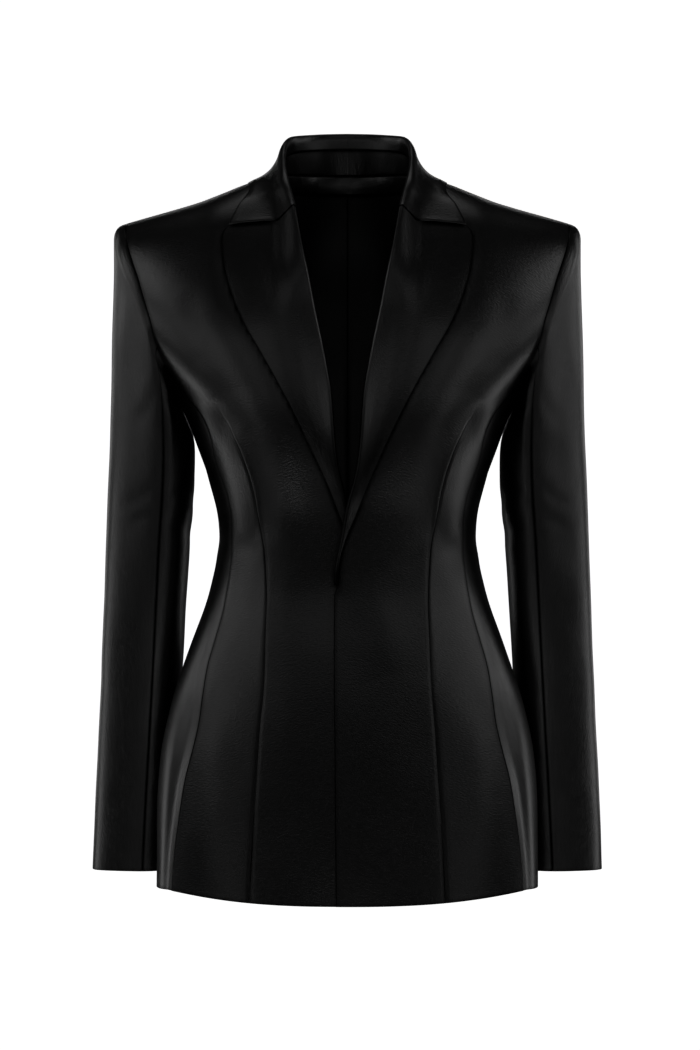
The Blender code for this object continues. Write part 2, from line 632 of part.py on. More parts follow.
def makeLining(side):
    # The first row follows the facing, then the shoulder ridge, and those below it less and less
    shared = slice(0, -1)
    innerZ = joined(liningRows["inner"], lowerRows["centreBack"][shared])
    outerZ = joined(liningRows["outer"], lowerRows["sideBack"][shared])
    outerX = backOuterX(outerZ)
    shares = (0, 0.14, 0.26, 0.36, 0.46, 0.62, 0.81, 1)
    x = spread(seamGap / 2 + 0 * innerZ, outerX - liningInsideArmhole, shares)
    straight = spread(innerZ, outerZ, shares)
    top = np.minimum(innerZ[0], ridgeHeight(x[0]) - liningBelowRidge)
    follow = 1 - ease(np.arange(len(innerZ))[:, None], 0, 7)
    height = straight + (top - straight[0]) * follow
    turn = turnAt(x, height, back=True)
    depth = 0 * turn - clothThickness - liningGap
    name = "lining_left" if side > 0 else "lining_right"
    outer = layer(turn, height, depth)
    inner = layer(turn, height, depth - liningThickness)
    return clothWall(name, mirrored(outer, side), mirrored(inner, side), (0.01, 0.01, 0.011), 0.5)


def armholeLoop(angles):
    # The armhole seam at each angle of the sleeve: 0 at the shoulder, a half turn at the underarm
    down = np.linspace(shoulderTip, armholeFrontFoot, 160)
    front = np.stack((turnAt(xAt(armholeFront, down), down), down))
    under = np.stack(sideTop(np.linspace(0, 1, 160)))
    up = np.linspace(armholeBackFoot, shoulderTip, 160)
    back = np.stack((turnAt(xAt(armholeBack, up), up, back=True), up))
    loop = np.concatenate((front, under[:, 1:-1], back), axis=1)
    points = bodyPoint(loop[0], loop[1])
    normals = bodyNormal(loop[0], loop[1])
    top = points[0]
    low = points[np.argmin(points[:, 2])]
    share = np.sum((points - low) * (top - low), axis=1) / np.dot(top - low, top - low)
    lowest = int(np.argmin(share))
    angle = np.arccos(np.clip(2 * share - 1, -1, 1))
    angle[lowest:] = 2 * np.pi - angle[lowest:]
    angle = np.maximum.accumulate(angle)
    found = np.stack([np.interp(angles, angle, column, period=2 * np.pi)
                      for column in (*points.T, *normals.T)], axis=-1)
    return found[..., :3], found[..., 3:], top, low


def sleeveGrid(angles):
    # Rings that turn from the armhole's plane to level ones. A ring's point is the middle of its
    # outer and inner point plus cos(angle) of half their distance, with -sin(angle) in depth.
    column = {key: alongTable(sleeveRings, key, sleeveRows) for key in sleeveRings}
    loop, loopNormal, top, low = armholeLoop(angles)
    share = (np.cos(angles) + 1) / 2
    leftOver = loop - (low + (top - low) * share[:, None])
    outerPoint = np.stack((column["outerX"], 0 * column["outerX"], column["outerZ"]), axis=-1)
    innerPoint = np.stack((column["innerX"], 0 * column["innerX"], column["innerZ"]), axis=-1)
    grid = innerPoint[:, None] + (outerPoint - innerPoint)[:, None] * share[None, :, None]
    depth = column["middleY"][:, None] - column["halfDepth"][:, None] * np.sin(angles)
    oval = column["oval"][:, None]
    grid[..., 0] += leftOver[:, 0] * (1 - oval)
    grid[..., 2] += leftOver[:, 2] * (1 - oval)
    grid[..., 1] = depth * oval + loop[:, 1] * (1 - oval)
    under = ((1 - np.cos(angles)) / 2)[:, None]
    clear = unit(grid[1] - grid[0]) * seamGap * 1.3 + loopNormal * under * 0.4
    return grid, clear


def makeSleeve(side, name, start, end, columns):
    trim = seamGap / 2 / 58
    angles = np.linspace(start + trim, end - trim, columns)
    outer, clear = sleeveGrid(angles)
    across = sleeveGrid(angles + sleeveBlend)[0] - sleeveGrid(angles - sleeveBlend)[0]
    normals = unit(np.cross(across, np.gradient(outer, axis=0)))
    outer[0] = outer[0] + clear
    inner = outer - normals * clothThickness
    return clothWall(name, mirrored(outer, side), mirrored(inner, side))


for old in list(bpy.data.objects):
    bpy.data.objects.remove(old)

for side, hand in ((1, "left"), (-1, "right")):
    makeFront(side)
    makeSide(side)
    makeBack(side)
    makeLapel(side)
    makeLining(side)
    makeSleeve(side, "sleeve_top_" + hand, sleeveBackSeam - 2 * np.pi, sleeveFrontSeam, 13)
    makeSleeve(side, "sleeve_under_" + hand, sleeveFrontSeam, sleeveBackSeam, 7)
makeCollar()
makeStand()
makeNeckFacing()
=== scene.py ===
import bpy
import numpy as np
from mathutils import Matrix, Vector


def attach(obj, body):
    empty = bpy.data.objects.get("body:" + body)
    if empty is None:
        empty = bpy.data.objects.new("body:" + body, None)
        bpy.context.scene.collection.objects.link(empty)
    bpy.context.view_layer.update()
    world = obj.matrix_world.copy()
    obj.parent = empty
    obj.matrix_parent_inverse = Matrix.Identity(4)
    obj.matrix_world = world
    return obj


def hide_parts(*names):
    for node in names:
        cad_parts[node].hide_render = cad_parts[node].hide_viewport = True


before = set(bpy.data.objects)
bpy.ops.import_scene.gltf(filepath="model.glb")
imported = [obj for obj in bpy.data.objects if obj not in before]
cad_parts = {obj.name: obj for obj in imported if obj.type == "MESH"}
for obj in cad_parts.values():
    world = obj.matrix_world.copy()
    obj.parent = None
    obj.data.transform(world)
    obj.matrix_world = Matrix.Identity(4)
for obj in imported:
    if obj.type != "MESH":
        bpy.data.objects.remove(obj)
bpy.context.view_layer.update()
print("frame loaded,", len(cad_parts), "nodes")

# All in millimetres, worked out on the wearer's left side (+X) and mirrored to the right. -Y is the
# front, and the origin is the middle of the neck.
mm = 0.001

cloth = {
    "thickness": 1.6,
    "liningThickness": 1.2,
    "seamGap": 0.3,  # between pieces sewn edge to edge
    "layerGap": 0.8,  # between cloths that lie on each other
    "liningGap": 2.2,  # from the back's inner face
    "edgeRoll": 0.7,  # over this width a panel's edge rounds off into its seam
    "shadeReach": 1.0,  # and it is painted in shade, darker and less glossy, about this far in
    "seamMeet": -0.1,  # edges sewn together reach this far past the middle of their seam
    "ridgeGap": 0.06,  # between front and back on the shoulder's ridge
    "heldReach": 9.0,  # creases fade out this near to a seam
    "gap": 3.0,  # spacing of a mesh's rows and columns
    "panelWidth": 150,  # which gives the number of a back's or side's columns
}
half = cloth["thickness"] / 2
seamGap = cloth["seamGap"]
seamMeet = cloth["seamMeet"]
foldRadius = cloth["thickness"] + cloth["layerGap"]

body = {
    "archHeight": 150.0,  # height over which the shoulder rounds from its ridge to the chest
    "lapDepth": 7.2,  # how far the right front sinks where both lapels cross it
    "hemFrontDrop": 14.0,
    "hemSide": -668.0,
    "hemHalfWidth": 176,
    "hemRound": 2.4,
    "neckBack": 8.0,
    "seamRise": 2.2,  # the front stands this proud of the side panel at the hem
    "sidePanelWidth": 170.0,
    "underarm": -217.0,
    "rollDepth": 8.0,
    "rollWidth": 46.0,
    "rollFrom": (-70, -130, -215, -290),  # heights between which it rises, stays and fades
    "lapFrom": (-238, -298, -372, -450),
    "lapWidth": (4, 66),
    "seamRiseFrom": (-345, -600),
    "seamRiseFront": 16.0,  # widths of the rise on either side of the seam
    "seamRiseSide": 6.0,
    "padRise": 7.5,  # the shoulder pad squares the shoulder by this much, most where the
    "padDown": 22.0,  # cloth has come this far down from the ridge
    "padFrom": (80, 130),
}

# Level sections of the body: depths at the centre line, the y of the widest line, and the rounds
# as exponents. 2 is an ellipse, more is squarer.
bodySections = {
    "height": (60, 0, -60, -120, -170, -217, -250, -290, -332, -385, -445, -500, -550, -600, -700),
    "halfWidth": (250, 250, 246, 226, 194, 157.5, 144.5, 130.5, 121.2, 128.5, 148.8, 166.5, 175.8, 178.9,
                  179.6),
    "front": (66, 76, 92, 107, 115, 117, 114, 108, 100, 97, 104, 111, 115, 118, 122),
    "back": (84, 92, 108, 116, 115, 109, 103, 94, 87, 89, 101, 112, 117, 119, 121),
    "widest": (0, 0, 0, 0, 0, -2, -4, -6, -8, -13, -21, -29, -34, -35, -35),
    "frontRound": (2.5, 2.5, 2.5, 2.5, 2.5, 2.5, 2.45, 2.4, 2.35, 2.35, 2.35, 2.4, 2.4, 2.4, 2.4),
    "backRound": (2.4, 2.4, 2.4, 2.4, 2.4, 2.35, 2.3, 2.25, 2.2, 2.15, 2.1, 2.05, 2.0, 2.0, 2.0),
}
bust = {"x": 92, "height": -232, "wide": 46, "tall": 62, "rise": -6}
shoulderBlade = {"x": 88, "height": -118, "wide": 60, "tall": 70, "rise": 4}
shoulderRidge = {
    "x": (-30, 0, 30, 48, 58, 66, 70, 95, 118, 140, 163, 186, 208.5, 226),
    "height": (46, 60, 46, 27, 12.5, 4.6, 1, -6, -15, -23.5, -30.5, -37, -43.5, -49),
}

# Seam lines seen from the front
rollLine = {
    "height": (-30, -66, -100, -130, -155, -183, -202, -226, -251, -274, -291, -305, -318, -336, -350,
               -362, -376, -388),
    "x": (48.4, 42, 34.5, 28.5, 23.3, 18, 14.7, 12.6, 11, 8.5, 4.8, 0.8, -2.4, -5.3, -7.7, -10.3, -12.3,
          -12.9),
}
frontEdge = {
    "height": (-390, -450, -517, -583, -700),
    "x": (-12.1, -12.6, -12, -11.5, -10.4),
}
frontNeckline = {
    "height": (1, -3, -8, -14, -20),
    "x": (70, 68, 64.5, 60.5, 57),
}
lapelEdge = {
    "height": (-51, -53.5, -57.5, -62.5, -88, -115, -142, -170, -204, -236, -266, -299, -317, -332, -347,
               -358, -370, -390),
    "x": (110.5, 113.6, 116.4, 117.6, 114.6, 107.6, 96.8, 81, 61.8, 45.2, 31, 17, 10.2, 4, -2, -5.4, -7.2,
          -8.2),
}
armholeFront = {
    "height": (-44, -54, -69, -85, -98, -118, -140, -155, -169, -181),
    "x": (209.8, 209, 206, 201, 196.5, 190.5, 184, 180.6, 175.8, 171),
}
armholeBack = {
    "height": (-44, -54, -69, -85, -105, -125, -145, -165, -180, -190),
    "x": (209.8, 209, 206, 201.5, 195.5, 189.5, 183, 175, 167, 159),
}
sideFrontSeam = {
    "height": (-181, -197, -213, -228, -245, -269, -287, -306, -325, -355, -373, -409, -440, -463, -485,
               -513, -540, -567, -595, -630, -662, -700),
    "x": (171, 160.5, 147.5, 136, 128.5, 123.3, 117, 111, 108.3, 108, 109.6, 115.3, 123.8, 130, 133.4,
          137, 143, 149.8, 154.3, 159, 161.7, 163.5),
}
sideBackSeam = {
    "height": (-190, -215, -250, -290, -332, -385, -445, -500, -600, -700),
    "x": (159, 141, 123, 107, 98, 101, 114, 126, 138, 141),
}
dartLine = {
    "height": (-30, -130, -180, -224, -241, -267, -293, -325, -358, -400, -436, -473, -528, -583, -628,
               -700),
    "x": (142, 136, 130, 119.5, 109.5, 96, 87.5, 81.5, 76, 74.2, 75.5, 77, 81.9, 85.3, 88.3, 91.5),
}

# Where each row of a panel leaves the inner edge and meets the outer one
frontRows = {
    "inner": (1, -3, -8, -14, -20, -29, -40, -54, -72, -94, -120, -146),
    "armhole": (-44, -47.5, -53, -60, -68, -78, -90, -104, -119, -135, -151, -167),
}
backRows = {
    "innerX": (70, 66, 58, 45, 28, 12, 0, 0, 0, 0, 0, 0),
    "inner": (1, 3.2, 5.6, 7.2, 7.9, 8, 8, -14, -42, -73, -106, -138),
    "armhole": (-44, -47.5, -54, -63, -74, -86, -98, -113, -129, -145, -161, -176),
}
lowerRows = {
    "frontEdge": (-172, -195, -218, -241, -265, -291, -318, -347, -372, -390, -415, -455, -505, -560,
                  -618, -682),
    "sideFront": (-181, -199, -217, -237, -258, -282, -308, -336, -362, -384, -412, -452, -502, -557,
                  -613, -670.5),
    "sideBack": (-190, -206, -223, -241, -261, -284, -309, -336, -362, -384, -412, -452, -502, -557, -613,
                 -669),
    "centreBack": (-168, -190, -212, -235, -260, -286, -313, -341, -367, -390, -417, -457, -507, -562,
                   -618, -672),
}
liningRows = {
    "inner": (-7, -17, -31, -52, -78, -107, -137),
    "outer": (-55, -70, -87, -107, -130, -153, -176),
}
lapelRows = {
    "roll": (-30, -48, -80, -115, -150, -185, -220, -250, -280, -303, -320, -336, -350, -363, -375, -386),
    "edge": (-51, -61.5, -88, -115, -145, -176, -208, -238, -268, -298, -317, -333, -347, -360, -372,
             -384),
}
gorgeLine = {
    "share": (0, 0.25, 0.5, 0.8, 1),
    "x": (48.4, 64, 81, 101, 110.5),
    "height": (-30, -46.5, -47.2, -49, -50.6),
}
collarRows = {
    "along": (0, 0.1, 0.18, 0.27, 0.36, 0.45, 0.53, 0.62, 0.72, 0.83, 0.92, 1),
    "foldX": (50.8, 54.6, 57.6, 59.6, 60.8, 61.2, 60.8, 58.6, 53.4, 37, 19, 0),
    "foldY": (-60, -51, -42, -30, -16, -2, 10, 23, 38, 53, 59, 61),
    "foldZ": (-32.5, -20, -9.5, 0, 9, 17.5, 25.5, 33, 38.6, 41.6, 43, 43.5),
    "edgeX": (110.5, 101.5, 95.5, 93, 92.6, 94.5, 93, 87, 73, 49, 25, 0),
    "edgeTurn": (-101, -82, -67, -51, -32, -8, 15, 40, 64, 105, 136, 149),
    "inside": (4, 4, 4, 5, 6, 8, 10, 11, 12, 12, 12, 12),
}
sleeveRings = {
    "outerX": (209.8, 214.8, 219, 221.3, 221.3, 221.4, 222.2, 223, 223.8, 224.5, 225.7, 227.5, 229.3,
               231.2, 233.4, 235.8, 238.4, 241, 242.9, 244.4),
    "outerZ": (-44, -45.8, -49.6, -57, -68, -85, -110, -140, -175, -212, -250, -292, -335, -385, -436,
               -486, -537, -583, -623, -659),
    "innerX": (158, 156.8, 155.2, 153.4, 151.4, 149.3, 147.4, 146, 145.4, 145.2, 145.5, 146.8, 149.9,
               152.9, 156, 159.2, 162.5, 165.4, 167.7, 169.5),
    "innerZ": (-217.4, -221, -225, -229.5, -234.5, -240, -247, -255, -264, -275, -290, -312, -343, -386,
               -436, -486, -537, -583, -623, -659),
    "middleY": (2, 2, 2, 3, 4, 5, 6, 7, 8, 9, 10, 12, 15, 19, 25, 32, 38, 41, 43, 44),
    "halfDepth": (66, 66, 66, 66, 66, 66, 66, 66, 65, 64, 62, 60, 58, 56, 54, 52, 50, 48, 46.5, 45.5),
    "oval": (0, 0.02, 0.05, 0.09, 0.15, 0.24, 0.37, 0.53, 0.7, 0.85, 0.95, 1, 1, 1, 1, 1, 1, 1, 1, 1),
}


# Cubic through the knots, its slopes harmonic means of the chords, so it never overshoots
def smooth(at, knots, values):
    order = np.argsort(knots)
    knots, values = (np.asarray(column, float)[order] for column in (knots, values))
    chords = np.diff(values) / np.diff(knots)
    before, after = chords[:-1], chords[1:]
    same = before * after > 0
    means = np.where(same, 2 * before * after / np.where(same, before + after, 1), 0)
    slopes = np.concatenate((chords[:1], means, chords[-1:]))
    at = np.clip(at, knots[0], knots[-1])
    low = np.clip(np.searchsorted(knots, at) - 1, 0, len(knots) - 2)
    span = knots[low + 1] - knots[low]
    part = (at - knots[low]) / span
    level = values[low] + (values[low + 1] - values[low]) * part ** 2 * (3 - 2 * part)
    lean = slopes[low] * part * (1 - part) ** 2 - slopes[low + 1] * part ** 2 * (1 - part)
    return level + span * lean


# 0 at start, 1 at end, level at both
def ease(value, start, end):
    part = np.clip((value - start) / (end - start), 0, 1)
    return part ** 2 * (3 - 2 * part)


# 0 up to start, 1 from full to fade, and 0 again from end
def window(value, start, full, fade, end):
    return ease(value, start, full) * (1 - ease(value, fade, end))


# From one to the other by weight
def mix(first, second, weight):
    return first + (second - first) * weight


def unit(vectors):
    return vectors / np.linalg.norm(vectors, axis=-1, keepdims=True)


# Unit vectors, less what they have along an axis
def squareTo(vectors, axis):
    return unit(vectors - axis * np.sum(vectors * axis, axis=-1, keepdims=True))


def joined(*columns):
    return np.concatenate([np.asarray(column, float) for column in columns])


# A seam line's x at these heights
def xAt(table, height):
    return smooth(height, table["height"], table["x"])


# A table's column at fractional row numbers
def readRows(values, place):
    return smooth(place, np.arange(len(values)), values)


def ridgeHeight(x):
    return smooth(np.abs(x), shoulderRidge["x"], shoulderRidge["height"])


# One size of the section at a height, averaged over a few heights so that no kink shows
def section(name, height):
    steps = zip((-18, -9, 0, 9, 18), (1, 2, 3, 2, 1))
    table = bodySections["height"], bodySections[name]
    return sum(weight * smooth(np.asarray(height) + step, *table) for step, weight in steps) / 9


# rise exp(-((|x| - x0) / wide)^2 - ((height - h0) / tall)^2)
def bell(swell, x, height):
    across = (np.abs(x) - swell["x"]) / swell["wide"]
    upward = (height - swell["height"]) / swell["tall"]
    return swell["rise"] * np.exp(-across ** 2 - upward ** 2)


# The body's outer face. turn is 0 at centre front and a quarter turn at the left side.
# x = W |sin|^(2/n), y = widest + D |cos|^(2/n), with bells for the bust and shoulder blades. At h
# below the shoulder's ridge y shrinks by sqrt(1 - (1 - h/H)^2), and the pad adds
# rise (h/p) exp(1 - h/p).
def bodyPoint(turn, height):
    turn, height = np.broadcast_arrays(turn, height)
    sine, cosine = np.sin(turn), np.cos(turn)
    behind = cosine < 0
    power = 2 / np.where(behind, section("backRound", height), section("frontRound", height))
    x = section("halfWidth", height) * np.sign(sine) * np.abs(sine) ** power
    widest = section("widest", height)
    depth = np.where(behind, section("back", height) - widest, -section("front", height) - widest)
    y = widest + depth * np.abs(cosine) ** power
    fullness = np.where(behind, bell(shoulderBlade, x, height), bell(bust, x, height))
    y = y + fullness * np.abs(cosine)
    below = np.clip(ridgeHeight(x) - height, 0, None)
    y = y * np.sqrt(1 - (1 - np.clip(below / body["archHeight"], 0, 1)) ** 2)
    reach = below / body["padDown"]
    pad = body["padRise"] * reach * np.exp(1 - reach) * ease(np.abs(x), *body["padFrom"])
    y = y + np.where(behind, pad, -pad)
    return np.stack((x, y, height), axis=-1)


# Cross product of the slopes round and up the body, or square to the ridge on it
def bodyNormal(turn, height):
    aside = bodyPoint(turn + 1e-4, height) - bodyPoint(turn - 1e-4, height)
    upward = bodyPoint(turn, height + 0.02) - bodyPoint(turn, height - 0.02)
    normals = unit(np.cross(aside, upward) + 1e-12)
    x = bodyPoint(turn, height)[..., 0]
    ridgeSlope = ridgeHeight(x + 0.5) - ridgeHeight(x - 0.5)
    onRidge = unit(np.stack((-ridgeSlope, 0 * x, 1 + 0 * x), axis=-1))
    near = (ridgeHeight(x) - height < 0.6)[..., None]
    return np.where(near, onRidge, normals)


# The turn at which the body has this x: the inverse of x = W sin^(2/n)
def turnAt(x, height, back=False):
    power = section("backRound" if back else "frontRound", height)
    turn = np.arcsin(np.clip(np.abs(x) / section("halfWidth", height), 0, 1) ** (power / 2))
    if back:
        turn = np.pi - turn
    return np.where(x < 0, -turn, turn)


# Points on the body moved along its normal
def layer(turn, height, offset):
    return bodyPoint(turn, height) + bodyNormal(turn, height) * np.asarray(offset, float)[..., None]


# The hem's height: level at the sides, dropping to the centre front
def hemHeight(x):
    level = np.clip(np.abs(x) / body["hemHalfWidth"], 0, 1) ** body["hemRound"]
    return body["hemSide"] - body["hemFrontDrop"] * (1 - level)


# A row from each start to each end, at these shares of the way
def spread(start, end, shares):
    return mix(start[:, None], end[:, None], shares)


# Rows from the left end to centre back, and on to the right end
def bothSides(rows):
    return np.concatenate((rows, rows[-2::-1] * np.array((-1, 1, 1))))


# Inner edge of a front: neckline, then the roll line less the lapel's turn, then the front edge
def innerEdgeX(height):
    roll = xAt(rollLine, height) + (foldRadius + half) * 1.03
    lower = mix(roll, xAt(frontEdge, height), ease(height, -386, -396))
    return mix(xAt(frontNeckline, height), lower, ease(height, -20, -30))


# Outer edge of a front or back: the armhole down to its foot, and the side panel's seam below it
def outerEdgeX(armhole, seam, height):
    return np.where(height > seam["height"][0], xAt(armhole, height), xAt(seam, height))


# Beside the side seam of the skirt both pieces rise into a ridge
def seamRidge(away, height, width):
    near = np.exp(-np.clip(away, 0, 90) / width)
    return body["seamRise"] * ease(height, *body["seamRiseFrom"]) * near


# The right front and lapel sink under the left where they cross, and below along the edge
def lapSink(x, height):
    crossing = window(height, *body["lapFrom"])
    low = foldRadius * ease(height, *body["lapFrom"][2:])
    return -(body["lapDepth"] * crossing + low) * (1 - ease(x, *body["lapWidth"]))


# Both cloths roll back to the lapel's fold: rollDepth (1 - d/rollWidth)^2 at the distance d
def rollBack(x, height):
    near = np.clip(1 - (x - xAt(rollLine, height)) / body["rollWidth"], 0, 1.2)
    return -body["rollDepth"] * near ** 2 * window(height, *body["rollFrom"])


# A layer on the front of one side, in that side's own mirrored x
def frontSurface(x, height, side, offset=0.0):
    lift = seamRidge(xAt(sideFrontSeam, height) - x, height, body["seamRiseFront"])
    lift = lift + rollBack(x, height)
    if side < 0:
        lift = lift + lapSink(x, height)
    return layer(turnAt(x, height), height, lift + offset)


# The first row lies on the shoulder's ridge, the next follow its curve less and less, and none
# comes nearer to it beside the neck than at the armhole
def shoulderRows(x, height, place):
    ridgeTrim = body["archHeight"] * (cloth["ridgeGap"] / section("front", 0.0)) ** 2 / 8
    follow = 1 - ease(place[:, None], 0, 6)
    height = height + follow * (ridgeHeight(x[0]) - ridgeTrim - height[0])
    drop = (ridgeHeight(x[:, -1]) - height[:, -1])[:, None]
    return np.minimum(height, ridgeHeight(x) - drop * ease(x - x[:, :1], 0, 28))


# Shares of a run: fine steps at its ends, where the edge rounds off, and even ones of about gap
def runShares(length, gap, fineStart=True, fineEnd=True):
    edge = np.array((0, 0.07, 0.22, 0.5, 0.85, 1.3)) * cloth["edgeRoll"]
    start = edge if fineStart else np.zeros(1)
    end = length - edge[::-1] if fineEnd else np.full(1, length)
    count = max(2, int(round((end[0] - start[-1]) / gap)))
    between = np.linspace(start[-1], end[0], count + 1)[1:-1]
    return np.concatenate((start, between, end)) / length


returnShares = runShares(11, 2.2, fineStart=False)      # columns that run back inside from a fold
halfTurn = np.radians(np.linspace(0, 180, 12))[1:-1]    # and those that go round it


# Fractional places along a path of these steps, at runShares of its length
def placesAlong(steps, gap=cloth["gap"]):
    way = joined((0,), np.cumsum(steps))
    return np.interp(runShares(way[-1], gap) * way[-1], way, np.arange(len(way)))


# Fractional row numbers at even steps of the two edges' mean height, and both heights there
def rowsBetween(first, second, gap=cloth["gap"]):
    mean = (np.asarray(first, float) + np.asarray(second, float)) / 2
    place = placesAlong(np.abs(np.diff(mean)), gap)
    return place, readRows(first, place), readRows(second, place)


# Length walked along a grid's axis, from its start and from its end
def walked(points, axis):
    steps = np.linalg.norm(np.diff(points, axis=axis), axis=-1)
    start = np.insert(np.cumsum(steps, axis=axis), 0, 0, axis=axis)
    return start, start.take([-1], axis) - start


# Cross product of the differences along columns and rows
def gridNormals(points):
    return unit(np.cross(np.gradient(points, axis=1), np.gradient(points, axis=0)) + 1e-12)


# The same, on the side that faces this way
def facing(points, way):
    normals = gridNormals(points)
    return normals * np.sign(np.sum(normals * np.array(way), axis=-1).mean())


# Smooth noise from a seed, about -1 to 1: a sum of sines of about this wave in turned directions
def ripple(a, b, wave, seed, count=7):
    draw = np.random.default_rng(seed)
    total = 0
    for _ in range(count):
        heading = draw.uniform(0, 2 * np.pi)
        length = wave * draw.uniform(0.7, 1.6)
        phase = draw.uniform(0, 2 * np.pi)
        total = total + np.sin((a * np.cos(heading) + b * np.sin(heading)) * 2 * np.pi / length + phase)
    return total / np.sqrt(count) / 1.4


crease = {
    "wander": 0.16,  # shares of its width: how far it strays from its line,
    "swellAside": 2.1,  # how far off the swell beside it lies,
    "swellWidth": 1.5,  # and how wide that is
    "wanderWave": 46,
    "swell": 0.35,
}
# Beside a seam: how far the puckers reach, their wave and their rise
puckers = {
    "armhole": (9, 26, 0.3),
    "centreBack": (8, 28, 0.24),
    "side": (8, 24, 0.26),
    "sleeve": (8, 24, 0.24),
    "dart": (6, 22, 0.16),
    "hem": (9, 30, 0.2),
    "cuff": (10, 26, 0.25),
}


# Soft troughs and ridges, each from (x0, z0) to (x1, z1), bowed aside. Relief is rise times
# sin(pi t)^0.9 along it times exp(-(s/width)^2) across it, with a low swell of the other sign
# below it.
def creaseRelief(table, x, z, seed):
    relief = np.zeros(np.broadcast(x, z).shape)
    for number, row in enumerate(table):
        x0, z0, x1, z1, bow, width, rise = row
        length = np.hypot(x1 - x0, z1 - z0)
        alongX, alongZ = (x1 - x0) / length, (z1 - z0) / length
        part = ((x - x0) * alongX + (z - z0) * alongZ) / length
        aside = (x - x0) * -alongZ + (z - z0) * alongX
        inRun = np.clip(part, 0, 1)
        stray = crease["wander"] * width
        stray = stray * ripple(part * length, 0 * part, crease["wanderWave"], seed * 97 + number)
        aside = aside - bow * np.sin(np.pi * inRun) - stray
        narrow = width * (0.75 + 0.5 * inRun)
        beside = (aside + crease["swellAside"] * narrow) / (crease["swellWidth"] * narrow)
        across = np.exp(-(aside / narrow) ** 2) - crease["swell"] * np.exp(-beside ** 2)
        relief += rise * np.sin(np.pi * inRun) ** 0.9 * across
    return relief


# A piece's own unevenness and its creases
def clothRelief(look, x, z, seed):
    uneven = look["unevenness"] * ripple(x, z, look["wave"], seed)
    return uneven + creaseRelief(look["creases"], x, z, seed)


# Relief times 1 - exp(-(d/reach)^2) at the distance d from a seam, so that sewn edges still meet
def heldAtSeams(relief, points):
    toSide = np.minimum(*walked(points, 1))
    toSeam = np.minimum(toSide, walked(points, 0)[0])
    return relief * (1 - np.exp(-(toSeam / cloth["heldReach"]) ** 2))


# Small waves along a seam that die away from it as exp(-d/reach)
def seamPucker(kind, away, along, seed):
    reach, wave, rise = puckers[kind]
    uneven = 0.6 + 0.4 * ripple(along, 0 * along, 90, seed + 5, 4)
    waves = rise * uneven * ripple(along, away * 0.3, wave, seed)
    return waves * np.exp(-np.clip(away, 0, None) / reach)


def putInScene(name, data):
    made = bpy.data.objects.new(name, data)
    bpy.context.scene.collection.objects.link(made)
    return made


# A grid's cells as faces of four points
def gridFaces(index):
    corners = index[:-1, :-1], index[:-1, 1:], index[1:, 1:], index[1:, :-1]
    return np.stack(corners, -1).reshape(-1, 4)


# Values at the outer face's points, then at those that are the inner face's own
def bothFaces(outer, inner):
    shape = -1, *outer.shape[2:]
    return np.concatenate((outer.reshape(shape), inner[1:-1, 1:-1].reshape(shape)))


# Closed cloth on its middle surface. At the distance d from an edge it is half
# sqrt(1 - (1 - d/roll)^2) thick on either side, so both faces share the edge's points. Its painted
# shade (darker colour and dimmer specular at every edge) is its weight times exp(-(d/shadeReach)^4), or
# what is given where that is more.
def clothShell(name, middle, normals, halfThick=half, roll=cloth["edgeRoll"], crevice=0.0, dull=1.0):
    left, right = walked(middle, 1)
    top, bottom = walked(middle, 0)
    toEdge = np.minimum(np.minimum(left, right), np.minimum(top, bottom))
    near = np.clip(toEdge / roll, 0, 1)
    rise = (halfThick * np.sqrt(1 - (1 - near) ** 2))[..., None]
    crevice = np.maximum(dull * np.exp(-(toEdge / cloth["shadeReach"]) ** 4), crevice)
    points = bothFaces(middle + normals * rise, middle - normals * rise) * mm
    rows, columns = toEdge.shape
    outer = np.arange(rows * columns).reshape(rows, columns)
    inner = outer.copy()
    inner[1:-1, 1:-1] = rows * columns + np.arange((rows - 2) * (columns - 2)).reshape(rows - 2, -1)
    faces = np.concatenate((gridFaces(outer), gridFaces(inner)[:, ::-1]))
    a, b, c, d = points[faces.T]
    if np.sum(np.cross(c - a, d - b) * (a + c)) < 0:    # its volume: turned inside out
        faces = faces[:, ::-1]
    mesh = bpy.data.meshes.new(name)
    mesh.vertices.add(len(points))
    mesh.vertices.foreach_set("co", points.ravel())
    mesh.loops.add(faces.size)
    mesh.loops.foreach_set("vertex_index", faces.ravel().astype(np.int32))
    mesh.polygons.add(len(faces))
    mesh.polygons.foreach_set("loop_start", np.arange(0, faces.size, 4, dtype=np.int32))
    mesh.polygons.foreach_set("use_smooth", np.ones(len(faces), bool))
    mesh.update(calc_edges=True)
    # The painted shade is stored on the points for the material to darken and dull
    shade = mesh.attributes.new("crevice", "FLOAT", "POINT")
    shade.data.foreach_set("value", bothFaces(crevice, crevice))
    cut = np.stack((left, -top), axis=-1) * mm
    weave = mesh.uv_layers.new(name="weave")
    weave.data.foreach_set("uv", bothFaces(cut, cut)[faces.ravel()].ravel())
    return putInScene(name, mesh)


# A cloth made on its side, mirrored, given its material and put in place of the part it replaces
def cutCloth(node, look, middle, normals, held, restsOn, side=1, finish="satin", **edges):
    mirror = np.array((side, 1, 1))
    made = clothShell("cloth_" + node, middle * mirror, normals * mirror, **edges)
    made.data.materials.append(finishes[finish])
    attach(made, "root")
    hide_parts(node)


def handed(name, side):
    return name + ("_left" if side > 0 else "_right")


# A panel with its relief on it
def hangPanel(name, look, base, normals, relief, side, sewnTo, **edges):
    middle = base + normals * heldAtSeams(relief, base)[..., None]
    restsOn = [handed(other, side) for other in sewnTo]
    cutCloth(handed(name, side), look, middle, normals, "hung", restsOn, side, **edges)


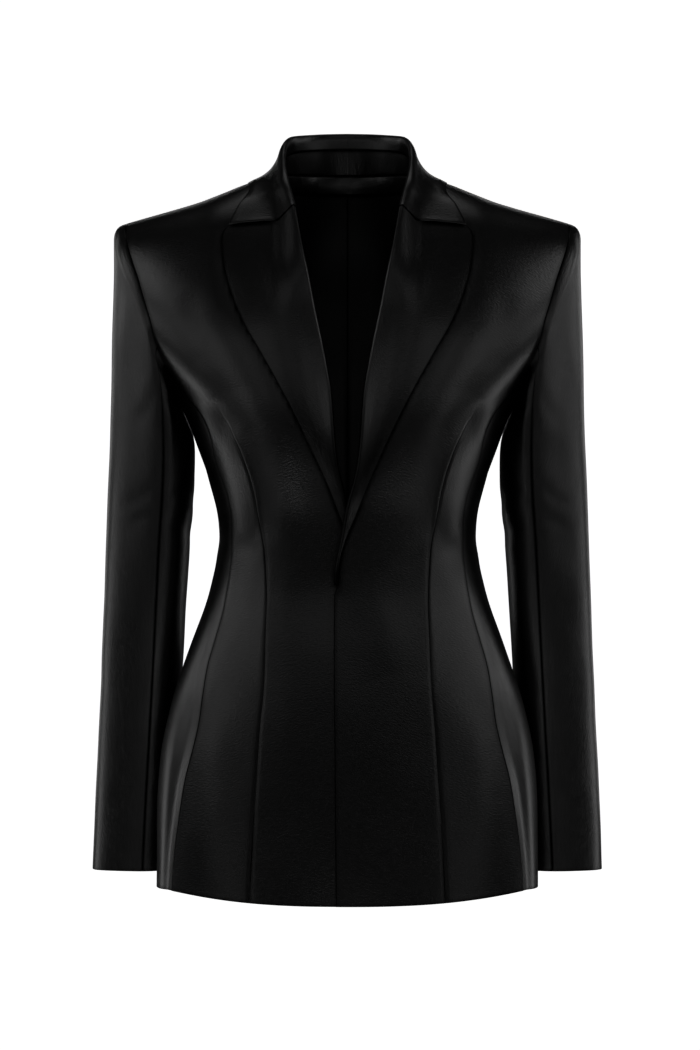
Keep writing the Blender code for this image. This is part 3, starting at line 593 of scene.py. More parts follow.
satin = {
    "colour": (0.001, 0.001, 0.0011),
    "roughness": 0.33,
    "specular": 0.62,
    "grainSize": 760.0,  # slubs a metre
    "grainDepth": 0.00022,
    "slubSize": 260.0,
    "roughnessSwing": 0.05,
    # share of the specular left where the painted shade is full
    "creviceShine": 0.02,
}
liningCloth = {
    "colour": (0.011, 0.011, 0.0115),
    "roughness": 0.52,
    "specular": 0.4,
    "grainSize": 1500.0,
    "grainDepth": 0.00004,
    "slubSize": 300.0,
    "roughnessSwing": 0.04,
    "creviceShine": 0.02,
}


# Outputs of a new node, with its inputs set or linked
def addNode(tree, kind, inputs, **settings):
    made = tree.nodes.new("ShaderNode" + kind)
    for name, value in settings.items():
        setattr(made, name, value)
    for name, value in inputs.items():
        if isinstance(value, bpy.types.NodeSocket):
            tree.links.new(value, made.inputs[name])
        else:
            made.inputs[name].default_value = value
    return made.outputs


# Fine threads as noise drawn out across the cut, a slower unevenness in the gloss, and painted
# shade: where the shade attribute is set, the colour is darkened towards black and the specular dimmed
def clothFinish(name, look):
    made = bpy.data.materials.new(name)
    made.use_nodes = True
    tree = made.node_tree
    shader = tree.nodes["Principled BSDF"]
    colour, shine, swing = (*look["colour"], 1), look["specular"], look["roughnessSwing"]
    shader.inputs["Base Color"].default_value = colour
    crevice = addNode(tree, "Attribute", {}, attribute_name="crevice")["Fac"]
    weave = addNode(tree, "UVMap", {}, uv_map="weave")["UV"]
    threads = addNode(tree, "Mapping", {"Scale": (0.4, 1.0, 1.0), "Vector": weave})["Vector"]
    grain = addNode(tree, "TexNoise", {"Scale": look["grainSize"], "Detail": 2.0, "Vector": threads})
    slub = addNode(tree, "TexNoise", {"Scale": look["slubSize"], "Detail": 3.0, "Vector": weave})
    # Painted shade: specular dimmed and colour darkened towards black by the shade attribute
    dulled = addNode(tree, "MapRange", {"Value": crevice, "To Min": shine,
                                        "To Max": shine * look["creviceShine"]})
    uneven = addNode(tree, "MapRange", {"Value": slub["Fac"], "To Min": look["roughness"] - swing,
                                        "To Max": look["roughness"] + swing})
    paintedShadeColour = addNode(tree, "Mix", {"Factor": crevice, "A": colour, "B": (0, 0, 0, 1)},
                       data_type="RGBA")
    bump = addNode(tree, "Bump", {"Strength": 1.0, "Distance": look["grainDepth"],
                                  "Height": grain["Fac"]})
    tree.links.new(dulled["Result"], shader.inputs["Specular IOR Level"])
    tree.links.new(paintedShadeColour["Result"], shader.inputs["Base Color"])
    tree.links.new(uneven["Result"], shader.inputs["Roughness"])
    tree.links.new(bump["Normal"], shader.inputs["Normal"])
    return made


finishes = {"satin": clothFinish("satin", satin), "lining": clothFinish("lining", liningCloth)}
print("finishes made")


front = {
    "flat": (0.235, 0.715),
    "area": 0.107,
    "insideWidth": 85,  # widths inside and outside the dart, which give the number of columns
    "outsideWidth": 62,
    "dartFrom": (-222, -262),
    "dartGroove": 0.9,
    "dartGrooveWidth": 0.9,
    "dartKink": 3.2,  # the cloth stands up into a crest along the dart
    "dartKinkWidth": 18.0,
    "kinkFrom": (-226, -275),
    "kinkFades": (-395, -520),
    "lapelHollow": 2.6,  # and sinks towards the lapel's edge
    "lapelHollowWidth": 16.0,
    "hollowFrom": (-42, -70, -300, -370),
    # painted shadow on the front beside the lapel's edge: its width, and the heights where it shows
    "lapelShade": 2.6,
    "lapelShadeFrom": (-46, -58, -384, -400),
    "seed": 11,
    "unevenness": 0.35,
    "wave": 95,
    # The cloth on top swells over the one under it below the closure
    "leftOnly": (
        (14, -372, 34, -470, 3, 20, 1.5),
    ),
    # Drags at the armhole, the dimple at the dart's top, folds at the waist, flutes in the skirt
    "creases": (
        (158, -196, 118, -230, 4, 12, -0.7),
        (150, -112, 122, -184, 6, 14, -0.8),
        (127, -214, 110, -252, -3, 10, -1.3),
        (108, -337, 84, -346, 2, 9, -0.6),
        (109, -357, 80, -352, -2, 9, -0.5),
        (76, -350, 38, -366, 3, 10, -0.5),
        (120, -500, 131, -668, 3, 15, 0.8),
        (58, -560, 62, -684, -3, 18, -0.7),
        (92, -92, 150, -66, 5, 15, 0.6),
    ),
}


def makeFront(side):
    inner = joined(frontRows["inner"], lowerRows["frontEdge"])
    outer = joined(frontRows["armhole"], lowerRows["sideFront"])
    place, innerZ, outerZ = rowsBetween(inner, outer)
    innerX = innerEdgeX(innerZ)
    outerX = outerEdgeX(armholeFront, sideFrontSeam, outerZ) - seamMeet
    dartX = xAt(dartLine, (innerZ + outerZ) / 2)
    inside = spread(innerX, dartX, runShares(front["insideWidth"], cloth["gap"]))
    outside = spread(dartX, outerX, runShares(front["outsideWidth"], cloth["gap"]))
    x = np.concatenate((inside, outside[:, 1:]), axis=1)
    share = (x - innerX[:, None]) / (outerX - innerX)[:, None]
    height = shoulderRows(x, spread(innerZ, outerZ, share), place)
    atHem = ease(place, len(inner) - 2, len(inner) - 1)[:, None]
    height = height + (hemHeight(x) - height[-1:]) * atHem
    fromDart = x - dartX[:, None]
    sewn = ease(height, *front["dartFrom"])
    inDart = np.exp(-(fromDart / front["dartGrooveWidth"]) ** 2) * sewn
    kink = ease(height, *front["kinkFrom"]) * (1 - 0.8 * ease(height, *front["kinkFades"]))
    kink = kink * front["dartKink"] * np.exp(-np.abs(fromDart) / front["dartKinkWidth"])
    fromLapel = x - xAt(lapelEdge, height)
    sunk = np.exp(-np.clip(fromLapel, 0, None) / front["lapelHollowWidth"])
    hollow = -front["lapelHollow"] * window(height, *front["hollowFrom"]) * sunk
    base = frontSurface(x, height, side, kink - front["dartGroove"] * inDart + hollow - half)
    fromTop, fromHem = walked(base, 0)
    seed = front["seed"] + (side < 0)
    relief = clothRelief(front, x, height, seed)
    if side > 0:
        relief += creaseRelief(front["leftOnly"], x, height, seed)
    relief += seamPucker("armhole", walked(base, 1)[1], fromTop, seed + 20)
    relief += seamPucker("hem", fromHem, x, seed + 40)
    relief += seamPucker("dart", np.abs(fromDart), fromTop, seed + 60) * sewn
    # Painted shade: the front darkened and its specular dimmed in the dart's groove, and a painted shadow
    # beside the lapel's edge
    fromEdge = np.abs(fromLapel) / front["lapelShade"]
    paintedLapelShadow = np.maximum(0.8 * np.exp(-fromEdge ** 2), np.exp(-(fromEdge * 2) ** 4))
    paintedLapelShadow = paintedLapelShadow * window(height, *front["lapelShadeFrom"])
    hangPanel("front", front, base, facing(base, (0, -1, 0)), relief, side, ["back"],
              crevice=np.maximum(inDart, paintedLapelShadow))


back = {
    "flat": (0.235, 0.715),
    "area": 0.110,
    "seed": 21,
    "unevenness": 0.4,
    "wave": 100,
    # Ease folds by the armhole, one under the collar, folds at the waist, flutes in the skirt
    "creases": (
        (152, -128, 118, -262, 8, 12, -1.2),
        (166, -88, 142, -190, 5, 10, -0.8),
        (20, -42, 78, -60, 5, 10, -0.6),
        (118, -322, 58, -352, 4, 13, -0.8),
        (112, -378, 38, -350, -3, 12, -0.7),
        (70, -318, 14, -352, 2, 11, -0.5),
        (50, -540, 56, -694, 4, 18, 1.0),
        (112, -520, 126, -682, -4, 16, 0.9),
        (60, -230, 48, -322, -6, 14, -0.8),
    ),
}


def makeBack(side):
    innerX = joined(backRows["innerX"], np.zeros(len(lowerRows["centreBack"])))
    inner = joined(backRows["inner"], lowerRows["centreBack"])
    place, innerZ, outerZ = rowsBetween(inner, joined(backRows["armhole"], lowerRows["sideBack"]))
    startX = np.interp(place, np.arange(len(innerX)), innerX) + seamMeet
    shares = runShares(cloth["panelWidth"], cloth["gap"])
    endX = outerEdgeX(armholeBack, sideBackSeam, outerZ) - seamMeet
    x = spread(startX, endX, shares)
    height = shoulderRows(x, spread(innerZ, outerZ, shares), place)
    base = layer(turnAt(x, height, back=True), height, -half)
    fromInner, fromOuter = walked(base, 1)
    fromTop, fromHem = walked(base, 0)
    seed = back["seed"] + (side < 0)
    relief = clothRelief(back, x, height, seed)
    relief += seamPucker("armhole", fromOuter, fromTop, seed + 20)
    relief += seamPucker("centreBack", fromInner, fromTop, seed + 60) * ease(height, -20, -60)
    relief += seamPucker("hem", fromHem, x, seed + 40)
    hangPanel("back", back, base, facing(base, (0, 1, 0)), relief, side, ["front"])


sidePanel = {
    "flat": (0.20, 0.495),
    "area": 0.0705,
    "trough": 2.2,  # beside the front seam, down the skirt
    "troughWidth": 11.0,
    "troughAt": 17.0,
    "troughFrom": (-375, -560),
    "seed": 31,
    "unevenness": 0.3,
    "wave": 90,
    # Placed across from the front seam: folds at the waist, drags from the underarm, flutes
    "creases": (
        (10, -345, 96, -353, 3, 11, -0.7),
        (24, -369, 128, -361, -3, 12, -0.6),
        (34, -232, 74, -304, 4, 11, -0.8),
        (108, -240, 84, -318, -4, 11, -0.7),
        (66, -510, 74, -655, 3, 20, 0.8),
        (118, -500, 128, -650, -3, 18, 0.8),
    ),
}


# The side panel's armhole edge, as turn and height from the front seam to the back seam
def sideTop(share):
    topFront, topBack = lowerRows["sideFront"][0], lowerRows["sideBack"][0]
    start = turnAt(xAt(sideFrontSeam, topFront), topFront)
    end = turnAt(xAt(sideBackSeam, topBack), topBack, back=True)
    dip = np.sin(np.pi * share) ** 1.3
    drop = body["underarm"] - (topFront + topBack) / 2
    return mix(start, end, share), mix(topFront, topBack, share) + drop * dip


def makeSide(side):
    place, frontZ, backZ = rowsBetween(lowerRows["sideFront"], lowerRows["sideBack"])
    shares = runShares(cloth["panelWidth"], cloth["gap"])
    line = spread(frontZ, backZ, shares)
    height = line + (sideTop(shares)[1] - line[0]) * (line[-1] - line) / (line[-1] - line[0])
    frontTurn = turnAt(xAt(sideFrontSeam, frontZ) + seamMeet, frontZ)
    backTurn = turnAt(xAt(sideBackSeam, backZ) + seamMeet, backZ, back=True)
    away = shares * body["sidePanelWidth"]
    across = np.exp(-((away - sidePanel["troughAt"]) / sidePanel["troughWidth"]) ** 2)
    trough = -sidePanel["trough"] * ease(height, *sidePanel["troughFrom"]) * across
    ridge = seamRidge(away, height, body["seamRiseSide"])
    turn = spread(frontTurn, backTurn, shares)
    base = layer(turn, height, ridge + trough - half)
    fromFront, fromBack = walked(base, 1)
    seed = sidePanel["seed"] + (side < 0)
    relief = clothRelief(sidePanel, fromFront, height, seed)
    relief += seamPucker("side", fromFront, height, seed + 20)
    relief += seamPucker("side", fromBack, height, seed + 30)
    relief += seamPucker("hem", walked(base, 0)[1], fromFront, seed + 40)
    hangPanel("side", sidePanel, base, facing(base, (1, 0, 0)), relief, side, ["front", "back"])


lapel = {
    "flat": (0.115, 0.375),
    "area": 0.0205,
    "return": 11.0,  # facing that runs on inside the front from the roll line
    "leastReturn": 3.0,
    "returnFrom": (-330, -270),
    "belly": 1.2,  # the lapel stands this much fuller between its roll and its edge
    "bellyFrom": (-60, -110, -280, -350),
    "notchShade": 5.2,  # painted shadow: the collar's edge shades it this far down
    "edgeShade": 1.7,
    "footShade": 0.94,  # painted shade inside at its foot,
    "footFrom": (-350, -378),
    "foldShade": 0.8,  # in its fold,
    "foldFrom": (-150, -250),
    "lowShade": 0.6,  # and over its lower part
    "lowFrom": (-225, -280),
    "lowTo": (-300, -318),  # where that ends on the left lapel, which lies on top
    "width": 70,  # which gives the number of columns
    "gap": 2.6,
    "columnGap": 2.4,
    "roll": 1.1,  # over this width its edge rounds off
    "sagReach": 7 / 19,  # share of its length over which its rows follow the gorge
    "seed": 41,
    "unevenness": 0.15,
    "wave": 60,
}


# Shares of a row's width at its columns, the last one where the cloth begins to turn
def fallShares(width, columns):
    return mix(np.asarray((foldRadius + half) / width)[..., None], 1, columns)


# The gorge seam and the notch's edge seen from the front, as a row of points raised by lift
def gorgeRow(lift, columns):
    share, x, height = gorgeLine.values()
    part = fallShares(np.hypot(x[-1] - x[0], height[-1] - height[0]), columns)
    return np.stack((np.interp(part, share, x), np.interp(part, share, height) + lift), axis=-1)


# How far a column is into the notch, drawn in again at the collar's corner
def notchPart(columns):
    return ease(columns, 0.16, 0.5) * (1 - 0.55 * ease(columns, 0.82, 1))


# Rows laid on the front at the turn's radius, carried round a half circle and back inside by run
def turnedRows(flat, columns, side, run, radius, lift=0.0):
    leave = unit(flat[..., -2, :] - flat[..., -1, :])[..., None, :]
    turnPoints = flat[..., -1:, :] - leave * (radius * np.sin(halfTurn))[:, None]
    inside = flat[..., -1:, :] + leave * (returnShares[:, None] * np.asarray(run)[..., None, None])
    points = np.concatenate((flat, turnPoints, inside), axis=-2)
    flatLift = lift * notchPart(columns) + radius + 0 * flat[..., 0]
    turnLift = radius * np.cos(halfTurn) + 0 * turnPoints[..., 0]
    offsets = np.concatenate((flatLift, turnLift, 0 * inside[..., 0] - radius), axis=-1) - half
    return frontSurface(points[..., 0], points[..., 1], side, offsets)


def makeLapel(side):
    place, rollZ, edgeZ = rowsBetween(lapelRows["roll"], lapelRows["edge"], lapel["gap"])
    share = place / (len(lapelRows["roll"]) - 1)
    rollPoints = np.stack((xAt(rollLine, rollZ), rollZ), axis=-1)
    edgePoints = np.stack((xAt(lapelEdge, edgeZ), edgeZ), axis=-1)
    columns = 1 - runShares(lapel["width"], lapel["columnGap"], fineEnd=False)
    shares = fallShares(np.linalg.norm(edgePoints - rollPoints, axis=1), columns)
    flat = spread(rollPoints, edgePoints, shares[..., None])
    sag = gorgeRow(-seamGap, columns) - flat[0]
    flat = flat + sag * (1 - ease(share, 0, lapel["sagReach"]))[:, None, None]
    runs = mix(lapel["leastReturn"], lapel["return"], ease(rollZ, *lapel["returnFrom"]))
    wall = [turnedRows(flat, columns, side, runs, foldRadius + apart) for apart in (0.4, -0.4)]
    normals = unit(wall[0] - wall[1])
    middle = (wall[0] + wall[1]) / 2
    onFall = np.pad(columns, (0, middle.shape[1] - len(columns)))
    full = lapel["belly"] * np.sin(np.pi * onFall) * window(rollZ, *lapel["bellyFrom"])[:, None]
    seed = lapel["seed"] + (side < 0)
    uneven = ripple(middle[..., 0], middle[..., 2], lapel["wave"], seed)
    middle = middle + normals * (full + lapel["unevenness"] * uneven * onFall)[..., None]
    # Painted shade on the lapel: a painted shadow under the collar's notch edge, and painted shade along
    # its outer edge, at its foot, in its fold and over its lower part
    atNotch = ease(onFall, 0.2, 0.34) * (1 - 0.6 * ease(onFall, 0.84, 1))
    shade = atNotch * np.exp(-(walked(middle, 0)[0] / lapel["notchShade"]) ** 4)
    atEdge = np.exp(-(walked(middle, 1)[0] / lapel["edgeShade"]) ** 4)
    atFoot = lapel["footShade"] * ease(rollZ, *lapel["footFrom"])
    atTurn = lapel["foldShade"] * ease(rollZ, *lapel["foldFrom"])[:, None] * (onFall < 0.02)
    ends = ease(rollZ, *lapel["lowTo"]) * (side > 0)
    low = lapel["lowShade"] * ease(rollZ, *lapel["lowFrom"]) * (1 - ends)
    for dark in (atEdge, atFoot[:, None], atTurn, low[:, None]):
        shade = np.maximum(shade, dark)
    cutCloth(handed("lapel", side), lapel, middle, normals, "folded", [handed("front", side)], side,
             roll=lapel["roll"], crevice=shade)


collar = {
    "flat": (0.09, 0.52),
    "area": 0.0256,
    "lift": half + 0.35,  # middle of its fall over the body
    # From and To are shares of the way from the notch to centre back
    "frontLift": 1.6,
    "frontLiftTo": (0.06, 0.22),
    "backLift": 0.9,
    "backLiftFrom": (0.5, 0.8),
    "edgeSink": 1.0,  # away from the notch its edge lies this much closer to the body
    "edgeSettle": 3.5,
    "settleFrom": (0.12, 0.24),
    "roll": 3.4,  # the fold stands out this far from its line
    "rollRise": 6.4,  # and takes this much of the fall to turn over
    "rollTop": 2.9,  # of which so much is above the line
    "steep": 0.7,  # how much of the fall's start hangs straight down at the back
    "steepFrom": (0.1, 0.5),
    "handle": 0.36,  # of the fall's length, for the handles of its curve
    "notchLift": 2.4,  # its lower front edge stands off the lapel
    "notchLap": 1.2,  # and laps over it
    "halfLength": 235,  # these two give the numbers of rows and columns
    "fallWidth": 60,
    "rowGap": 2.6,
    "gap": 2.4,
    "seed": 51,
    "unevenness": 0.12,
    "wave": 60,
}
stand = {
    "flat": (0.036, 0.21),
    "area": 0.0048,
    "rows": 90,
    "height": 25,
    "neckSeamShade": 0.2,  # the painted shade at the seam between stand and facing is this dark, others are 1
}
neckFacing = {
    "flat": (0.016, 0.20),
    "area": 0.0025,
    "rows": 60,
    "gap": 2.0,
    "depth": 13.0,
    "bulge": 0.9,
    "standOff": 6.5,  # its foot hangs this much clear of the back, and the lining with it
}


def bezier(start, first, second, end, part):
    start, first, second, end = (point[:, None] for point in (start, first, second, end))
    part = part[None, :, None]
    return ((1 - part) ** 3 * start + 3 * part * (1 - part) ** 2 * first
            + 3 * part ** 2 * (1 - part) * second + part ** 3 * end)


# Turn and height on the body, having walked round the shoulder's ridge (minus is forward)
def ridgeWalk(x, walk):
    angle = np.clip(np.abs(walk) / body["archHeight"], 0, np.pi / 2)
    height = ridgeHeight(x) - body["archHeight"] * (1 - np.cos(angle))
    return np.where(walk < 0, turnAt(x, height), turnAt(x, height, back=True)), height


# The body's points and normals along the neck seam at these fractions of its twelve rows
def neckline(place):
    frontZ, backZ = np.array(frontRows["inner"][5::-1]), np.array(backRows["inner"][1:7])
    backTurn = turnAt(np.array(backRows["innerX"][1:7]), backZ, back=True)
    turn, height = joined(turnAt(innerEdgeX(frontZ), frontZ), backTurn), joined(frontZ, backZ)
    points, normals = bodyPoint(turn, height), bodyNormal(turn, height)
    points, normals = (np.stack([readRows(line, place) for line in grid.T], axis=-1)
                       for grid in (points, normals))
    return points, unit(normals)


# Points that lie under a layer on the body are moved out onto it
def clearOfBody(points, lift):
    x, y, height = np.moveaxis(points, -1, 0)
    under = ridgeHeight(x) - 0.5 > height
    heightOn = np.minimum(height, ridgeHeight(x) - 0.5)
    turn = np.where(y > 0, turnAt(x, heightOn, back=True), turnAt(x, heightOn))
    normals = bodyNormal(turn, heightOn)
    short = np.sum((bodyPoint(turn, heightOn) - points) * normals, axis=-1) + lift
    return points + normals * (np.clip(short, 0, None) * under)[..., None]


# The collar's rows: from its edge up the fall, over the fold and down inside, with the direction in
# which each leaves the fold, and the way out from the neck
def collarShape(place, columns):
    table = {key: readRows(collarRows[key], place) for key in collarRows}
    along = table["along"]
    fold = np.stack((table["foldX"], table["foldY"], table["foldZ"]), axis=-1)
    tangent = unit(np.gradient(bothSides(fold), axis=0))[:len(fold)]
    turn, height = ridgeWalk(table["edgeX"], table["edgeTurn"])
    overLapel = (1 - ease(along, *collar["frontLiftTo"])) * collar["frontLift"]
    behind = ease(along, *collar["backLiftFrom"]) * collar["backLift"]
    edge = layer(turn, height, collar["lift"] + overLapel + behind)
    edgeNormal = bodyNormal(turn, height)
    toEdge = squareTo(unit(edge - fold), tangent)
    flat = squareTo(toEdge, squareTo(neckline(place)[1], tangent))
    raised = unit(mix(toEdge, squareTo(np.array((0, 0, -1.0)), tangent), collar["steep"]))
    leave = unit(mix(flat, raised, ease(along, *collar["steepFrom"])[:, None]))
    outward = unit(np.cross(leave, tangent))
    outward = outward * np.sign(np.sum(outward * edgeNormal, axis=1))[:, None]
    begin = leave * (collar["rollRise"] - collar["rollTop"])
    start = fold + begin + outward * collar["roll"]
    gap = edge - start
    reach = np.linalg.norm(gap, axis=1)[:, None]
    settle = squareTo(gap, edgeNormal)
    handle = reach * collar["handle"]
    fall = bezier(start, start + leave * handle, edge - settle * handle, edge, columns)
    fall[:, :-1] = clearOfBody(fall[:, :-1], collar["lift"])
    fromEdge = (1 - columns)[None, :, None] * reach[:, None]
    settled = ease(along, *collar["settleFrom"])[:, None, None]
    settled = np.exp(-(fromEdge / collar["edgeSettle"]) ** 2) * settled
    fall -= edgeNormal[:, None] * collar["edgeSink"] * settled
    bend = halfTurn[:, None]
    over, out, down = (fold + begin)[:, None], outward[:, None], leave[:, None]
    swell = np.where(np.cos(bend) > 0, collar["roll"], foldRadius)
    top = over + swell * np.cos(bend) * out - collar["rollRise"] * np.sin(bend) * down
    inside = np.maximum(table["inside"] - collar["rollRise"] + collar["rollTop"], 1.2)
    within = returnShares[:, None] * inside[:, None, None]
    grid = np.concatenate((fall, top, over - out * foldRadius + down * within), axis=1)
    lower = seamGap - collar["notchLap"] * notchPart(columns)
    gorgeEnd = turnedRows(gorgeRow(lower, columns), columns, 1, collarRows["inside"][0], foldRadius,
                          collar["notchLift"])
    return mix(gorgeEnd, grid, np.clip(place, 0, 1)[:, None, None]), leave, outward


def makeCollar():
    place = runShares(collar["halfLength"], collar["rowGap"], fineEnd=False)
    place = place * (len(collarRows["along"]) - 1)
    columns = 1 - runShares(collar["fallWidth"], collar["gap"], fineEnd=False)
    middle = bothSides(collarShape(place, columns)[0])
    normals = gridNormals(middle)
    normals *= np.sign(normals[len(middle) // 2, 3, 1])
    onFall = np.pad(columns, (0, middle.shape[1] - len(columns)))
    uneven = ripple(middle[..., 0], middle[..., 1], collar["wave"], collar["seed"])
    middle = middle + normals * (collar["unevenness"] * uneven * onFall)[..., None]
    # Less painted shade at its ends on the fall, so the notch's edge stays light
    fromEnds = np.minimum(*walked(middle, 0))
    dull = 1 - 0.95 * np.exp(-(fromEnds / 2) ** 2) * (onFall > 0.25)
    cutCloth("collar", collar, middle, normals, "folded", ["collar_stand"], roll=lapel["roll"],
             dull=dull)


def makeStand():
    place = np.linspace(3, len(collarRows["along"]) - 1, stand["rows"])
    columns = 1 - runShares(collar["fallWidth"], collar["gap"], fineEnd=False)
    grid, leave, outward = collarShape(place, columns)
    top = grid[:, -1] + leave * seamGap + outward * half
    seat, seatNormal = neckline(place)
    bottom = seat + unit(top - seat) * seamGap * 1.6
    part = runShares(stand["height"], collar["gap"])[None, :, None]
    outer, normals = spread(top, bottom, part), unit(spread(outward, seatNormal, part))
    # Painted shade along its edges, fading to neckSeamShade at the neck seam
    dull = mix(1, stand["neckSeamShade"], part[0, :, 0])
    cutCloth("collar_stand", stand, bothSides(outer - normals * half), bothSides(normals), "folded",
             ["back_left", "back_right"], dull=dull)


def makeFacing():
    place = np.linspace(1, 6, neckFacing["rows"])
    halfX = np.interp(place, np.arange(7), backRows["innerX"][:7])
    top = np.interp(place, np.arange(7), backRows["inner"][:7]) - 0.4
    shares = runShares(neckFacing["depth"], neckFacing["gap"])
    height = spread(top, body["neckBack"] - neckFacing["depth"] + 0 * top, shares)
    turn = turnAt(spread(halfX, halfX, shares), height, back=True)
    depth = cloth["thickness"] + seamGap + (cloth["liningGap"] - seamGap) * shares ** 0.3
    depth = depth + neckFacing["bulge"] * np.sin(np.pi * shares) + neckFacing["standOff"] * shares
    middle = bothSides(layer(turn, height, 0 * turn - depth - half))
    # Painted shade along its edges, from neckSeamShade at the neck seam to full at its foot
    dull = mix(stand["neckSeamShade"], 1, shares)
    cutCloth("neck_facing", neckFacing, middle, bothSides(-bodyNormal(turn, height)), "laid",
             ["back_left", "back_right"], dull=dull)


lining = {
    "flat": (0.21, 0.64),
    "area": 0.085,
    "belowRidge": 14.0,
    "insideArmhole": 8.0,
    "hangReach": 30.0,  # over this height it comes back to the back from the facing's foot
    "gap": 5.0,
    "seed": 61,
    "unevenness": 0.5,
    "wave": 60,
    "creases": (
        (14, -30, 10, -190, 2, 4, 0.9),
        (34, -40, 26, -170, -3, 6, 0.8),
        (60, -60, 44, -230, 5, 8, 0.9),
        (22, -200, 60, -330, 6, 9, 0.9),
        (90, -90, 70, -250, -5, 9, 0.9),
    ),
}


def makeLining(side):
    inner = joined(liningRows["inner"], lowerRows["centreBack"][:-1])
    outer = joined(liningRows["outer"], lowerRows["sideBack"][:-1])
    place, innerZ, outerZ = rowsBetween(inner, outer, lining["gap"])
    shares = runShares(cloth["panelWidth"], lining["gap"])
    endX = outerEdgeX(armholeBack, sideBackSeam, outerZ) - lining["insideArmhole"]
    x = spread(seamMeet + 0 * innerZ, endX, shares)
    straight = spread(innerZ, outerZ, shares)
    top = np.minimum(innerZ[0], ridgeHeight(x[0]) - lining["belowRidge"])
    height = straight + (top - straight[0]) * (1 - ease(place[:, None], 0, 7))
    turn = turnAt(x, height, back=True)
    halfThick = cloth["liningThickness"] / 2
    clear = neckFacing["standOff"] * np.exp((height - height[:1]) / lining["hangReach"])
    middle = layer(turn, height, -clear - cloth["thickness"] - cloth["liningGap"] - halfThick)
    normals = -bodyNormal(turn, height)
    seed = lining["seed"] + (side < 0)
    uneven = np.abs(ripple(x, height, lining["wave"], seed)) * (1 - np.exp(-x / 10))
    folds = np.clip(creaseRelief(lining["creases"], x, height, seed), 0, None)
    relief = lining["unevenness"] * uneven + folds
    cutCloth(handed("lining", side), lining, middle + normals * relief[..., None], normals, "hung",
             ["neck_facing"], side, "lining", halfThick=halfThick)


sleeve = {
    "unevenness": 0.35,
    "wave": 85,
    "aroundMm": 60.0,  # creases are placed across by the turn times this
    "radius": 58.0,
    "columnRadius": 62.0,  # which gives the number of columns
    "blend": 9,  # degrees over which its shading is averaged across the corners
    "flatness": 0.64,  # 1 is an oval, less is flatter in front and behind
    "inwardLean": 0.3,  # its foremost and hindmost lines lie this much (radians) nearer the body
    # Each part's arc is its turn in degrees from the shoulder round the front.
    # Drag from the underarm, folds round the elbow, long soft dents, one at the cuff
    "top": {"flat": (0.20, 0.64), "area": 0.1027, "arc": (-115, 109), "seed": 71, "creases": (
        (112, -188, 66, -242, 4, 9, -0.5),
        (112, -288, 40, -317, 5, 8, -0.35),
        (112, -322, 58, -335, -3, 7, -0.3),
        (-116, -332, -50, -316, 4, 9, -0.7),
        (-116, -300, -66, -290, 3, 7, -0.5),
        (62, -150, 84, -430, 5, 15, -0.5),
        (-38, -120, -58, -400, -5, 18, -0.6),
        (104, -556, 58, -590, 3, 8, -0.25),
        (20, -330, 28, -560, 4, 18, 0.4),
    )},
    "under": {"flat": (0.15, 0.50), "area": 0.0539, "arc": (109, 245), "seed": 73, "creases": (
        (118, -300, 204, -311, 5, 8, -1.1),
        (124, -330, 216, -336, -4, 8, -0.9),
        (118, -208, 172, -262, 4, 10, -1.1),
        (252, -228, 200, -292, -5, 10, -0.9),
        (130, -540, 192, -560, 4, 8, -0.6),
        (250, -322, 190, -305, 3, 8, -0.8),
    )},
}


# The armhole seam at each angle of the sleeve: 0 at the shoulder, a half turn at the underarm
def armholeLoop(angles):
    down = np.linspace(armholeFront["height"][0], armholeFront["height"][-1], 160)
    up = np.linspace(armholeBack["height"][-1], armholeBack["height"][0], 160)
    under = np.stack(sideTop(np.linspace(0, 1, 160)[1:-1]))
    front = turnAt(xAt(armholeFront, down), down), down
    behind = turnAt(xAt(armholeBack, up), up, back=True), up
    loop = np.concatenate((front, under, behind), axis=1)
    points, normals = bodyPoint(*loop), bodyNormal(*loop)
    top = points[0]
    low = points[np.argmin(points[:, 2])]
    share = np.sum((points - low) * (top - low), axis=1) / np.dot(top - low, top - low)
    lowest = int(np.argmin(share))
    angle = np.arccos(np.clip(2 * share - 1, -1, 1))
    angle[lowest:] = 2 * np.pi - angle[lowest:]
    angle = np.maximum.accumulate(angle)
    found = np.stack([np.interp(angles, angle, column, period=2 * np.pi)
                      for column in (*points.T, *normals.T)], axis=-1)
    return found[..., :3], found[..., 3:], top, low


# Rings that turn from the armhole's plane to level ones: across, the middle of the outer and
# inner point plus cos(angle) of half their distance. In depth, -sin(lean)^flatness, where lean is
# the angle less inwardLean sin(angle)^2, and the other way round behind.
def sleeveGrid(angles, place):
    column = {key: readRows(sleeveRings[key], place) for key in sleeveRings}
    loop, loopNormal, top, low = armholeLoop(angles)
    share = (np.cos(angles) + 1) / 2
    leftOver = loop - mix(low, top, share[:, None])
    lean = angles - sleeve["inwardLean"] * np.sin(angles) * np.abs(np.sin(angles))
    squared = np.sign(np.sin(lean)) * np.abs(np.sin(lean)) ** sleeve["flatness"]
    depth = column["middleY"][:, None] - column["halfDepth"][:, None] * squared
    oval = column["oval"][:, None]
    x = spread(column["innerX"], column["outerX"], share) + leftOver[:, 0] * (1 - oval)
    z = spread(column["innerZ"], column["outerZ"], share) + leftOver[:, 2] * (1 - oval)
    grid = np.stack((x, mix(loop[:, 1], depth, oval), z), axis=-1)
    return grid, unit(grid[8] - grid[0]), loopNormal


